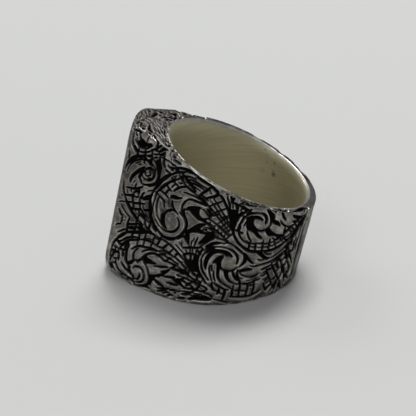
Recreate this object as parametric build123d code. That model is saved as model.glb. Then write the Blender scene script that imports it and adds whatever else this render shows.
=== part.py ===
from build123d import *
import math
import os

# Heavy signet ring lying on its side.
# The bore axis leans back, because the lower side face slopes and lies flat on the floor.
# While it is being made the ring has its bore along Z and its face towards -X.

# Finger opening
bore_diameter = 19.0

# Walls round the finger
side_wall = 1.05
back_wall = 1.2

# Face plate of the head, and how far it stands from the bore axis
face_reach = 14.4
face_width = 6.2
face_length = 22.7

# Length of the shank along the finger, at its back
shank_length = 10.8

# Rounded and bevelled edges
face_corner_radius = 1.9
head_end_radius = 1.0
bore_bevel = 0.35

# The ridges of the head are round at the face and run out to sharp ones this far behind it
face_end_radius = 2.8
rounding_length = 4.6

# How far the rounding tool stands off the flat sides and the face
tool_clearance = 0.02
tool_overrun = 0.1

# Worked out from the sizes above
bore_radius = bore_diameter / 2
band_radius = bore_radius + side_wall
band_centre_x = back_wall - side_wall
back_reach = bore_radius + back_wall
side_slope = (face_length - shank_length) / 2 / (face_reach + back_reach)
lean_angle = math.degrees(math.atan(side_slope))

# The straight shoulder runs from the face's corner to the point where it touches the round band
to_corner_x = -face_reach - band_centre_x
to_corner_y = face_width / 2
corner_angle = math.atan2(to_corner_y, to_corner_x)
corner_distance = math.hypot(to_corner_x, to_corner_y)
tangent_angle = corner_angle - math.acos(band_radius / corner_distance)
touch_x = band_centre_x + band_radius * math.cos(tangent_angle)
touch_y = band_radius * math.sin(tangent_angle)
shoulder_slope = (touch_y - face_width / 2) / (touch_x + face_reach)


def half_length_at(x):
    """Half the ring's length along the finger, at a distance x along the head's axis."""
    return shank_length / 2 + side_slope * (back_reach - x)


def half_width_at(x):
    """Half the ring's width across the finger on the straight shoulders."""
    return face_width / 2 + shoulder_slope * (x + face_reach)


def plan_outline():
    """The ring seen along the bore: a round shank whose shoulders run straight to a narrow face."""
    upper_corner = (-face_reach, face_width / 2)
    lower_corner = (-face_reach, -face_width / 2)
    edges = [
        Line(lower_corner, upper_corner),
        Line(upper_corner, (touch_x, touch_y)),
        ThreePointArc((touch_x, touch_y), (band_centre_x + band_radius, 0), (touch_x, -touch_y)),
        Line((touch_x, -touch_y), lower_corner),
    ]
    outline = make_face(Wire(edges))
    front_corners = outline.vertices().filter_by(lambda corner: corner.X < -face_reach + side_wall)
    return fillet(front_corners, face_corner_radius)


def elevation_outline():
    """The ring seen across the finger: long at the face and short at the back."""
    beyond_back = back_reach + back_wall
    points = [
        (-face_reach, -half_length_at(-face_reach)),
        (beyond_back, -half_length_at(beyond_back)),
        (beyond_back, half_length_at(beyond_back)),
        (-face_reach, half_length_at(-face_reach)),
    ]
    outline = make_face(Plane.XZ * Polyline(*points, close=True))
    face_ends = outline.vertices().filter_by(lambda corner: corner.X < -face_reach + side_wall)
    return fillet(face_ends, head_end_radius)


def head_cross_section(x, radius):
    """The head cut across at x, with rounded corners, a hair wider than the head itself."""
    width = 2 * (half_width_at(x) + tool_clearance)
    length = 2 * (half_length_at(x) + tool_clearance)
    return Plane(origin=(x, 0, 0), x_dir=(0, 1, 0), z_dir=(-1, 0, 0)) * RectangleRounded(width, length, radius)


def outside_rounded_head():
    """All that lies outside the rounded head, whose ridges grow rounder towards the face."""
    start = -face_reach + rounding_length
    beyond_face = -face_reach - tool_overrun
    growth = (face_end_radius - tool_clearance) / rounding_length
    widest_radius = half_width_at(beyond_face) - tool_clearance
    radius_beyond = min(face_end_radius + growth * tool_overrun, widest_radius)
    front = head_cross_section(beyond_face, radius_beyond)
    behind = head_cross_section(start, tool_clearance)
    rounded_head = loft([front, behind], ruled=True)
    depth = start - beyond_face
    block = Pos(beyond_face + depth / 2, 0, 0) * Box(depth, face_length * 2, face_length * 2)
    return block - rounded_head


def bevel_bore_rims(solid):
    """The narrow polished bevel at both ends of the finger opening."""
    middle_of_wall = bore_radius + min(side_wall, back_wall) / 2

    def is_rim(edge):
        middle = edge @ 0.5
        return edge.geom_type != GeomType.LINE and math.hypot(middle.X, middle.Y) < middle_of_wall

    return chamfer(solid.edges().filter_by(is_rim), bore_bevel)


def signet_ring():
    """One piece of silver, bored for the finger and laid on its lower side face."""
    plan = extrude(plan_outline(), face_length, both=True)
    elevation = extrude(elevation_outline(), band_radius + side_wall, both=True)
    bore = Cylinder(bore_radius, face_length * 2)
    body = bevel_bore_rims((plan & elevation) - bore)
    rounded = body - outside_rounded_head()
    laid = Rot(0, lean_angle, 0) * rounded
    box = laid.bounding_box()
    return Pos(-box.center().X, -box.center().Y, -box.min.Z) * laid


os.makedirs("parts", exist_ok=True)
export_step(signet_ring(), "parts/signet_ring.step")
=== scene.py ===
import functools
import math

import bpy
import numpy as np
from mathutils import Matrix, Vector


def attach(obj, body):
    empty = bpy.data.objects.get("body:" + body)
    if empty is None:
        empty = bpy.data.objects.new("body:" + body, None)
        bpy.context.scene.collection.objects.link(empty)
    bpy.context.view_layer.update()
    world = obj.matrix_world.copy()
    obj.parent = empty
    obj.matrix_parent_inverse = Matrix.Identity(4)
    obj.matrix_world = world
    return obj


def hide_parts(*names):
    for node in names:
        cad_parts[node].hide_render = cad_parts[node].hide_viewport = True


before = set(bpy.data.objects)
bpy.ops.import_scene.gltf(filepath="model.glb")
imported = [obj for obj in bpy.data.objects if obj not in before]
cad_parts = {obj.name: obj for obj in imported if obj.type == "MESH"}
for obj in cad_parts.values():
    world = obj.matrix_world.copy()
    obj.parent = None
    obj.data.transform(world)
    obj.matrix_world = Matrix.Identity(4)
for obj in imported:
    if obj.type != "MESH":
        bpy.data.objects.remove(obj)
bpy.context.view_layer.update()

# Sizes of the ring in millimetres, the same as in the part's source
MM = 0.001
BORE_RADIUS = 9.5
SIDE_WALL = 1.05
BACK_WALL = 1.2
FACE_REACH = 14.4
FACE_WIDTH = 6.2
FACE_LENGTH = 22.7
SHANK_LENGTH = 10.8
FACE_CORNER_RADIUS = 1.9
HEAD_END_RADIUS = 1.0
FACE_END_RADIUS = 2.8
ROUNDING_LENGTH = 4.6
BORE_BEVEL = 0.35

# Worked out from the sizes above
BAND_RADIUS = BORE_RADIUS + SIDE_WALL
BAND_CENTRE_X = SIDE_WALL - BACK_WALL
BACK_REACH = BORE_RADIUS + BACK_WALL
SIDE_SLOPE = (FACE_LENGTH - SHANK_LENGTH) / 2 / (FACE_REACH + BACK_REACH)
HALF_LENGTH_AT_AXIS = SHANK_LENGTH / 2 + SIDE_SLOPE * BACK_REACH
LEAN = math.atan(SIDE_SLOPE)
LEAN_COS = math.cos(LEAN)
LEAN_SIN = math.sin(LEAN)

# Ridges worn round by use, all round the ring
WORN_RADIUS = 0.14

# Where the bore axis stands in the CAD frame, at the middle of the ring's length
AXIS_X = 2.3539
AXIS_Z = 7.7224

# The camera, whose place is also where the engraving was charted from
ELEVATION = math.radians(24.5096)
AZIMUTH = math.radians(7.9402)
ROLL = math.radians(1.313)
CAMERA_DISTANCE = 155.947
CAMERA_SHIFT = (-2.428, 0.738)
AIM_HEIGHT = 8.0

# The side of the square picture and the camera's focal length, both in pixels
PICTURE = 416
FOCAL = 1190.535

BACK = Vector((
    math.sin(AZIMUTH) * math.cos(ELEVATION),
    -math.cos(AZIMUTH) * math.cos(ELEVATION),
    math.sin(ELEVATION),
))
RIGHT = Vector((math.cos(AZIMUTH), math.sin(AZIMUTH), 0))
UP = BACK.cross(RIGHT)
AIM = Vector((AXIS_X, 0, AIM_HEIGHT))
EYE = AIM + BACK * CAMERA_DISTANCE + RIGHT * CAMERA_SHIFT[0] + UP * CAMERA_SHIFT[1]

# The ring's outline seen along the bore: flat face, round corner, straight shoulder, round back
sharp_corner = np.array([FACE_REACH, FACE_WIDTH / 2])
band_centre = np.array([BAND_CENTRE_X, 0.0])
corner_reach = sharp_corner - band_centre
corner_distance = math.hypot(*corner_reach)
TOUCH_ANGLE = math.atan2(corner_reach[1], corner_reach[0]) + math.acos(BAND_RADIUS / corner_distance)
touch = band_centre + BAND_RADIUS * np.array([math.cos(TOUCH_ANGLE), math.sin(TOUCH_ANGLE)])
shoulder_length = math.hypot(*(touch - sharp_corner))
SHOULDER_WAY = (touch - sharp_corner) / shoulder_length
SHOULDER_SLOPE = -SHOULDER_WAY[1] / SHOULDER_WAY[0]
TURN = math.acos(SHOULDER_WAY[1])
corner_cut_back = FACE_CORNER_RADIUS * math.tan(TURN / 2)

# Distances round the outline, from the middle of the face, where each of its stretches ends
FACE_END = FACE_WIDTH / 2 - corner_cut_back
CORNER_END = FACE_END + FACE_CORNER_RADIUS * TURN
SHOULDER_END = CORNER_END + shoulder_length - corner_cut_back
BACK_MIDDLE = SHOULDER_END + BAND_RADIUS * (math.pi - TOUCH_ANGLE)


def outline_point(s):
    """Points and outward directions of the outer wall, at distances s from the middle of the face."""
    side = np.where(s < 0, -1.0, 1.0)
    s = np.abs(s)
    turned = (np.clip(s, FACE_END, CORNER_END) - FACE_END) / FACE_CORNER_RADIUS
    round_back = TOUCH_ANGLE + (np.clip(s, SHOULDER_END, BACK_MIDDLE) - SHOULDER_END) / BAND_RADIUS
    angle = np.where(s < SHOULDER_END, turned, round_back)
    along = np.clip(s, CORNER_END, SHOULDER_END) - CORNER_END
    x = FACE_REACH - FACE_CORNER_RADIUS * (1 - np.cos(turned)) + SHOULDER_WAY[0] * along
    y = np.minimum(s, FACE_END) + FACE_CORNER_RADIUS * np.sin(turned) + SHOULDER_WAY[1] * along
    x = np.where(s > SHOULDER_END, BAND_CENTRE_X + BAND_RADIUS * np.cos(round_back), x)
    y = np.where(s > SHOULDER_END, BAND_RADIUS * np.sin(round_back), y)
    return x, side * y, np.cos(angle), side * np.sin(angle)


def head_half_width(x):
    """Half the head's width across the finger at x: straight shoulders and round face corners."""
    into_corner = np.clip(x - (FACE_REACH - FACE_CORNER_RADIUS), 0, FACE_CORNER_RADIUS)
    in_corner = FACE_END + np.sqrt(FACE_CORNER_RADIUS ** 2 - into_corner ** 2)
    corner_start = FACE_REACH - FACE_CORNER_RADIUS * (1 - math.cos(TURN))
    return np.where(x > corner_start, in_corner, FACE_WIDTH / 2 + SHOULDER_SLOPE * (FACE_REACH - x))


# The round where the head's side faces meet the face
END_CENTRE_X = FACE_REACH - HEAD_END_RADIUS
END_START_X = END_CENTRE_X - HEAD_END_RADIUS * LEAN_SIN
END_CENTRE_Z = HALF_LENGTH_AT_AXIS + SIDE_SLOPE * END_START_X - HEAD_END_RADIUS * LEAN_COS


def ridge_height(x):
    """Half the ring's length along the finger at x, with the head's rounded ends."""
    into_end = np.clip(x - END_CENTRE_X, -HEAD_END_RADIUS, HEAD_END_RADIUS - 1e-5)
    at_end = END_CENTRE_Z + np.sqrt(HEAD_END_RADIUS ** 2 - into_end ** 2)
    return np.where(x > END_START_X, at_end, HALF_LENGTH_AT_AXIS + SIDE_SLOPE * x)


def ridge_radius(x):
    """How round the head's ridges are at x."""
    grown = FACE_END_RADIUS * (x - FACE_REACH + ROUNDING_LENGTH) / ROUNDING_LENGTH
    return np.minimum(np.clip(grown, 0, None), head_half_width(x))


def side_height(x, y, inside):
    """Height of the upper side face at x and y, a given way inside the outer wall."""
    radius = ridge_radius(x)
    over = np.clip(np.abs(y) - (head_half_width(x) - radius), 0, radius)
    fall = radius - np.sqrt(radius ** 2 - over ** 2)
    worn = np.clip(WORN_RADIUS - inside, 0, WORN_RADIUS)
    worn_fall = WORN_RADIUS - np.sqrt(WORN_RADIUS ** 2 - worn ** 2)
    return ridge_height(x) - np.maximum(fall, worn_fall)


# Ring coordinates have x towards the face, y towards the near side and z along the bore
def way_in_cad_frame(x, y, z):
    """A direction in ring coordinates turned into the CAD frame."""
    return np.stack([-LEAN_COS * x + LEAN_SIN * z, -y, LEAN_SIN * x + LEAN_COS * z], -1)


def in_cad_frame(x, y, z):
    """A point in ring coordinates as metres in the CAD frame."""
    return (way_in_cad_frame(x, y, z) + (AXIS_X, 0, AXIS_Z)) * MM


def way_in_ring(x, y, z):
    """A direction in the CAD frame turned into ring coordinates."""
    return -LEAN_COS * x + LEAN_SIN * z, -y, LEAN_SIN * x + LEAN_COS * z


EYE_X, EYE_Y, EYE_Z = way_in_ring(EYE[0] - AXIS_X, EYE[1], EYE[2] - AXIS_Z)

# The stretch of the near wall that the camera sees, and the bearing under which it sees each of its points
SEEN_FROM = FACE_END + 0.25
SEEN_TO = 33.0
SEEN_STEPS = 2400
seen_s = np.linspace(SEEN_FROM, SEEN_TO, SEEN_STEPS)
seen_x, seen_y, _, _ = outline_point(seen_s)
seen_bearing = np.arctan2(EYE_X - seen_x, EYE_Y - seen_y)
rising = np.concatenate([[True], seen_bearing[1:] > np.maximum.accumulate(seen_bearing)[:-1]])
SEEN_S = seen_s[rising]
SEEN_BEARING = seen_bearing[rising]


def seen_on_wall(x, y, z):
    """Where the eye sees a point of a rounded ridge on the sharp wall: distance round, height and x."""
    y = np.abs(y)
    bearing = np.arctan2(EYE_X - x, EYE_Y - y)
    wall_s = np.interp(bearing, SEEN_BEARING, SEEN_S)
    wall_x, wall_y, _, _ = outline_point(wall_s)
    t = 1 - np.hypot(EYE_X - wall_x, EYE_Y - wall_y) / np.hypot(EYE_X - x, EYE_Y - y)
    return wall_s, z + t * (EYE_Z - z), wall_x


def seen_on_side(x, y, z):
    """Where the eye sees a point of a rounded ridge on the flat upper side face."""
    depth = HALF_LENGTH_AT_AXIS + SIDE_SLOPE * x - z
    t = depth / ((EYE_Z - z) - SIDE_SLOPE * (EYE_X - x))
    return x + t * (EYE_X - x), y + t * (EYE_Y - y)


def sight_line(px, py):
    """The way from the camera through a place in the picture, in ring coordinates."""
    across = ((px - PICTURE / 2) * math.cos(ROLL) + (PICTURE / 2 - py) * math.sin(ROLL)) / FOCAL
    upward = ((PICTURE / 2 - py) * math.cos(ROLL) - (px - PICTURE / 2) * math.sin(ROLL)) / FOCAL
    return way_in_ring(*(RIGHT * across + UP * upward - BACK))


def laid_on_wall(px, py):
    """Distance round and height where a place in the picture falls on the sharp-edged wall."""
    way_x, way_y, way_z = sight_line(px, py)
    s = float(np.interp(math.atan2(-way_x, -way_y), SEEN_BEARING, SEEN_S))
    x, y, _, _ = outline_point(np.array([s]))
    t = float(math.hypot(EYE_X - x[0], EYE_Y - y[0]) / math.hypot(way_x, way_y))
    return s, EYE_Z + t * way_z


def laid_on_side(px, py):
    """Where a place in the picture falls on the flat upper side face."""
    way_x, way_y, way_z = sight_line(px, py)
    t = (HALF_LENGTH_AT_AXIS + SIDE_SLOPE * EYE_X - EYE_Z) / (way_z - SIDE_SLOPE * way_x)
    return EYE_X + t * way_x, EYE_Y + t * way_y


# Engraving charts
# A chart's line is a kind and the points it runs through, and goes on below wherever it ends in a comma.
# The kinds h, f, c, b and k are graver cuts of rising width, and o is a hollow between leaves.
# The kinds t and p hold an amount first: t is dark ground and painted shade, p rubbed metal and painted
# light.
CUT_WIDTH = {"h": 0.11, "f": 0.17, "c": 0.23, "b": 0.32, "k": 0.46}
CUT_SHARE = {"h": 0.5, "f": 0.65, "c": 0.8, "b": 0.95, "k": 1.1}
HOLLOW_DEPTH = 1.3

# Long guide lines in millimetres: the distance round the ring from the middle of the face, then the height
WALL_CHART = """
h 5.1 3.2, 5.4 3.7
k 7 1.9, 7.7 2.2, 8.4 2.8
f 7.6 3.2, 8.1 3.5, 8.5 3.7
c 3.3 3.2, 3.5 2.4, 3.67 1.9
b 7.15 -.4, 6.95 -1.4, 6.85 -2.5, 6.75 -3.6, 6.75 -4.3
c 7.2 -2.1, 8 -2.05, 9 -1.95, 10 -1.9, 11 -1.88, 12.1 -1.8, 13.1 -1.88, 13.9 -2.1, 14.5 -2.35
c 9.15 -.6, 9.1 -1.5
f 5.6 -4.9, 6 -4.5, 6.6 -4, 7.3 -3.75, 8 -3.6, 8.8 -3.4, 9.8 -3.15, 11 -3.1, 13 -3.1, 14 -3.1, 15 -3.35,
  16 -3.8
c 7 -5.6, 7.6 -4.95, 8.2 -4.6, 8.8 -4.3, 9.6 -4.1, 10.4 -3.95, 11 -3.7, 11.8 -3.6, 12.8 -3.75, 14 -3.6,
  14.7 -3.9
b 11.3 7.5, 10.6 6.8, 9.85 5.85, 9.4 5.1, 9 4.4, 8.6 3.7, 8.42 2.8, 8.4 1.9, 8.6 1.15, 8.85 .5, 9.1 .1,
  9.9 -.65, 10.6 -.95, 11.1 -1.15, 11.85 -1.25, 12.5 -1.1, 13.1 -.85, 13.75 -.45, 14.25 .15, 14.6 .75,
  14.8 1.4, 14.75 1.9, 14.5 2.45, 14 2.9
c 11.6 7, 10.9 6.2, 10.2 5.5, 9.7 4.85, 9.35 4.2, 9.05 3.6, 9.02 2.7, 9 1.9, 9.15 1.2, 9.45 .6, 9.9 .05,
  10.5 -.3
c 9.55 3.6, 10.3 3.4, 11 3.15
c 16.8 1.75, 17.6 1.88, 18.4 1.75, 19.2 1.7, 20 1.6
k 11 8, 11.7 8.35, 12.5 8.6, 13.4 8.75, 14.3 8.75, 15.2 8.65, 16 8.45, 16.7 8.15, 17.3 7.85, 17.85 7.35,
  17.5 6.85
f 18.2 2.9, 19 2.5, 19.9 2
f 10 -10, 11 -9.85, 12 -9.6
c 11.5 -7.1, 12 -6.85, 12.4 -6.5
c 18.4 -4.7, 18.2 -5.3, 18 -6, 17.6 -6.5, 17.1 -7.2
f 15 -5.2, 16 -5.15, 17 -5.2, 18 -5.6, 19 -6, 20 -6.35
b 16.9 -4.2, 17.6 -4.3, 17.9 -3.8
c 20 -6.8, 21.3 -6.9, 22.6 -6.95, 24.1 -6.8, 25.2 -6.6, 25.9 -6.3
k 25.9 -6.25, 26.5 -6.15, 27 -6.2
b 21.6 -5.1, 21.6 -5.8, 21.5 -6.7
b 21.2 5.9, 20.95 5.2, 20.75 4.3, 20.72 3.5, 20.9 2.7, 21.3 2.1, 21.8 1.55, 22.45 1.1, 23.1 .72, 24.1 .55,
  25 .63, 25.9 .7, 26.7 .8, 27.6 1.1, 28.4 1.5
c 22 5.3, 21.6 4.9, 21.4 4.35, 21.35 3.65, 21.55 2.9, 21.9 2.35, 22.45 1.9, 23.1 1.65
f 21.1 6.7, 22 6.3
f 20.9 6.9, 22 6.9, 22.9 6.9
f 30.2 6.3, 30.9 6.15, 31.6 5.95
c 32.05 4.8, 31.95 3.4, 32.05 2.1, 32 .8, 32.1 -.6, 32.1 -2, 32.1 -3.4, 32.3 -4.4, 32.6 -5.1
"""

# Read from the camera's place: the points are where each cut is seen in the picture, in pixels
SEEN_HEAD_END = """
f 140.2 115.3, 139.4 117.5, 139.1 119.5, 138.4 121.2
b 138.4 121.2, 136.6 121.9, 135 122.5
b 140.3 111.2, 142 112.2, 142.8 113.2
c 144 113.6, 145 114.6
b 141.4 119.4, 143.5 119.5, 145.3 119.3
k 144.2 119.3, 145 119.2
b 145.7 117.3, 147.6 118.1, 149.4 118.8, 151 119.9
k 149.7 113.5, 151.6 113.6, 153 114.6
k 152.8 116, 153.8 114.6, 155.4 113.5, 157.4 112.4
b 147 115.7, 149 115.7, 151.4 116.1
f 146.2 111.2, 147.2 113.7
b 144.3 109.6, 145.7 110.7
b 149.2 110.6, 150.4 109.8
c 154 109.9, 158.6 110.1
k 159.9 111.5, 162.6 111.5
b 159.4 114.5, 161.1 114.6
k 159.7 119.5, 161.2 119.4
b 162.2 116.5, 164.5 116.6, 167 116.5
b 165.8 119.3, 168.4 118.3
k 170.8 112.2, 172.4 113.3, 174.4 113.8, 176.8 113.2
f 175.3 114.3, 175.6 115.6
b 176.6 116.3, 175.9 117.6, 174.6 118.4, 174.5 119.4
b 170 119.6, 171.8 119.4
c 169 120.3, 170.2 120.8
f 166.4 121.7, 166.6 123.1
c 164 124, 165.2 124.8
c 164.3 126.4, 167 125.7
f 164.8 128.8, 165.3 130.4, 165 132, 165.4 134, 166.1 136
f 168.5 128.4, 168.6 129.9
f 168.2 134, 169.1 136.2
c 167.8 137.3, 168.9 138.4, 169.9 140
f 166.2 137.8, 166.4 139.6
b 166.6 140.6, 168 141.2, 169.7 141.3, 171.8 141.6
b 166 142.5, 166.8 144.3, 168.2 145.6, 170 145, 172 144.6, 174 144.8, 175.6 146.2
o 150.4 123.8, 149.6 126, 148 128.7, 149.4 130.3, 151.4 131.6, 153.1 131.4, 152.4 129.8, 151.2 128,
  150.8 126
f 153.4 122, 154.8 123.6, 156.6 125.8
f 156.9 122.9, 158.2 124.2, 159.6 126.3
f 154.2 125.7, 155.5 127, 156.8 129
f 158.1 127.6, 159 129.5, 159.9 131.4, 160.9 133.6
f 161 128, 162 130.5, 162.9 132.6
f 156.4 131.9, 157.5 133.5, 158.6 135.2
h 155.6 119.8, 156.4 121.6
h 158 120.4, 160 122.6, 161.6 124.8
h 160.8 121.6, 162.6 124
h 159.6 134.4, 161 136.8
h 162.4 134.6, 163.6 137
h 160.6 125.4, 161.6 127.2
h 163 126.4, 163.4 128.6
h 162.4 129.6, 163.2 131.4
f 148 121.4, 150 122.4
h 146.6 119.8, 148.6 121
f 144.2 122.2, 145.6 123.4, 147 124.5
f 141.5 124.5, 143.1 124.7
c 143.7 125.2, 144.8 126.1
b 141.4 127.3, 143.7 127.9
f 140.6 121.8, 140.2 124.6, 139.7 126.3
f 137.6 124.6, 137.2 126.6
f 142.4 121.8, 141.6 123
h 142 116, 144.4 116.4
h 141.6 113.8, 141.2 115.6
h 143.6 111, 145 112.6
h 138.6 112.4, 137.8 114.4
f 136.8 116.6, 136.2 119
f 150.6 111.4, 152 112
h 155.4 111.6, 157 111.2
h 163.8 110.6, 166.4 111
f 164.4 112.6, 166.4 113
f 163.6 114.6, 165.4 114.8
h 156.6 114.8, 157.8 116
h 156 117, 158.4 117.4
h 162 118.4, 164 118.6
f 168.4 111.1, 170 111.2
f 172.6 115.2, 170.4 116.4, 168.6 117.2
f 173.6 116.6, 171.6 118
t .45 169.6 114.2, 175.6 114.6, 175.8 117.4, 172 118.2, 168.8 117
h 177 115.5, 178.6 115.4
c 180.2 118.4, 181 117.4, 182 117
"""

SEEN_TOP_CORNER_SCROLL = """
b 133.9 129.4, 135.4 129.6, 137.4 130.1, 139.4 131, 141 132.3
f 135.6 130.6, 135.4 133.6
f 133.6 130, 133.2 131.6
f 132.2 128.5, 134 128.7
o 139 132.6, 139.4 136, 138.9 138.3, 140.3 141.4, 142.5 143.7, 145 145.6, 148 146.1, 151 145.1, 151 144.2,
  148.5 144.4, 146 143.3, 144 141.3, 142.6 139.9, 141 138.3, 140.3 136, 140 133
c 149 136.4, 147.6 137.6, 146.8 139.4, 146.5 141.3
b 154.9 134.2, 155.2 136.4
b 155.1 136.2, 155.9 138.5, 157.1 140.6, 157.3 143, 156.6 145.5, 155.3 146.7
k 155 134.8, 155.3 136.6
c 151.5 135.3, 151.7 136.1
c 148.7 131.9, 149.9 133.3
t .8 146.2 131.2, 147.6 131, 148.4 133.2, 147.4 134
c 138 141, 139.5 144, 142 146, 144.6 146.9
c 134.7 139.2, 135.9 142, 137.1 144.2, 138.5 146.2, 141 148, 143.2 148.7
b 133.6 131, 132.6 134, 132 137, 131.8 140, 131.9 143, 132.9 146.4, 135 149.5, 137.7 151.2
c 135.4 134.9, 136.4 135
f 136.2 137.4, 136.9 139.6
k 134.2 146.5, 134.6 148.6, 135.8 150.8
f 138.3 147, 138.6 149.5
c 143.2 148.8, 146.4 148.7, 149 147.3, 151.6 146.2
b 150.4 150, 153.6 149.8, 156 148.6, 158.6 147.2, 161 146
"""

SEEN_BAND_BELOW_TOP_SCROLL = """
b 128.4 150, 128.3 153.5, 127.6 156.5
c 129.5 157.5, 130.6 158.5, 132 158.3, 134 157, 136 156.4
b 125.2 166, 126.2 163.5, 127.6 161.6, 129.3 160.3, 131.2 158.9
b 129 165, 130.3 163.3, 132 161.9, 134 160.4, 135.5 159.8
c 138.2 158.9, 140.5 158.4
f 134.6 163.7, 137.5 162.6, 140 161.8
f 137.5 164.9, 140.5 164.3
b 138.3 149.4, 137 151, 136.9 154, 137 156.8
b 144.7 150, 144.5 153, 144.4 157, 143.6 160, 143.5 163
b 151.4 150.5, 151.3 153.5, 151 156.5, 150.6 160, 150.6 163.5, 151.6 166
c 137.8 151.6, 140 152, 143 152.5, 146 152.3, 149 151.6, 151 150.6
c 137.5 155.9, 140 155.8, 143.5 155.6
b 146.3 155.8, 148 156.4, 150 156
b 145.4 158.6, 146.2 160, 147.6 161.6, 149 163.6, 150 165.2
c 148 160.2, 149.5 160.6
c 153.4 160.4, 154.6 162, 155.4 164, 155.5 166
k 156.5 160.8, 157.3 163, 157.2 166, 156.6 168.5, 156.7 171
t .9 157.8 157, 159.6 157, 160 162, 160.6 167, 160.6 174, 159.6 178, 158.4 174, 158.6 168, 157.6 163
k 159 158, 158.9 163, 159.6 167, 159.4 172
b 163 156, 163.4 158, 163.4 160, 162.8 162, 163 164, 164 167
c 164.6 159, 166 160.4, 168.2 161.6, 169.5 162.8
b 167.3 165, 168 166.6, 169.6 168, 171 168.3, 173 168.6
b 170.2 162.6, 171 164.2, 172 165, 174 166, 175 166.8
k 172.6 156.6, 174 157
b 172.5 160.3, 175 161.2, 177 162.4, 178.6 163.8, 180 164.2
f 170 153, 169.3 154.5, 169.8 156.4
f 170.6 157.6, 170.4 160.4
f 164.6 152, 164.3 154, 164.8 156
k 158.5 151.9, 160.5 150.7, 162.5 149.5, 165 149.2, 168 149.2
b 158 153.5, 159 155.3, 161 155, 163 154, 164.4 153
c 152.5 154, 154.5 154.8, 157 154.6
f 157.9 151.8, 157.8 154
b 154.8 150.7, 156.8 150.9
c 152.6 157.6, 154.6 158, 156.8 157.6
f 160.4 157.6, 162 158.2
f 140.8 157, 143.4 157.2
"""

SEEN_SCROLL_BY_FACE = """
k 143.8 167.4, 141.5 168.8, 139 170, 137 171.6, 134.5 173.6, 132.3 175.6, 130.8 177.5, 129.8 179.5,
  129.3 181.5
b 140.4 182.6, 141.3 184, 143.5 184.9, 146 185.3, 149 185.2, 151.5 184.8, 153.8 183.8, 155.3 182, 156.3 180,
  156.9 178, 157.2 176, 156.8 173
b 138.5 178.6, 139.8 180.5, 140.4 182.6
o 142.7 169.6, 141 170.5, 139.4 172.6, 138.2 175, 137.4 177.6, 138.8 178.8, 139.8 177, 141 174.6,
  142.4 172.4
c 144.3 168.2, 145.6 169.5, 147.2 169, 149.3 169.6, 150.6 171, 151.5 172.8
c 145.1 172.2, 145.5 172.7
c 148.3 171.3, 149 173, 149.8 174.5, 148.9 175.6
c 152 172.8, 152.7 175.5, 151.9 178.3, 150.6 179.5
b 146.8 179.2, 148.3 179.2, 150 179.1
h 143 179, 143.3 181
b 125.5 187.3, 128 187.6, 131 188.4, 134 188.8, 137 188.5, 139.5 187.8, 142 186.9
c 135.9 183.6, 134.8 185.6, 134.1 187.4
f 131.2 185, 131.3 185.8
k 168.6 174.9, 166 176.4, 163.8 177.9, 162 179.6, 160.4 181.2, 158.8 182.6, 157.4 184, 156 185.4, 154.6 187
c 141 172, 142.4 177.5, 147.9 181, 153.4 177.5, 153.6 172, 149.6 168, 145 169.4, 143.8 173, 146.6 176.4,
  150 174, 148.6 171.2
k 124.3 167.6, 127 162.4, 131.6 158.4, 137.5 156.4, 143.4 157.1
c 126.3 171.6, 128.3 166.3, 132.9 161.7, 139.5 159.7, 145.4 160.4, 150.7 163.7, 153.9 168.3, 154.6 172.9
b 152.6 159.7, 156.6 165, 158.6 170.3, 158.6 176.8, 156.6 182.1, 152.6 185.4, 147.4 186.7
k 181.6 174.2, 186.8 180.8, 190.8 186, 194.7 191.3
"""

# The rims in pixels; the two bright places at the end are painted highlights along the near ridge, which is
# also worn bright there.
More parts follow.
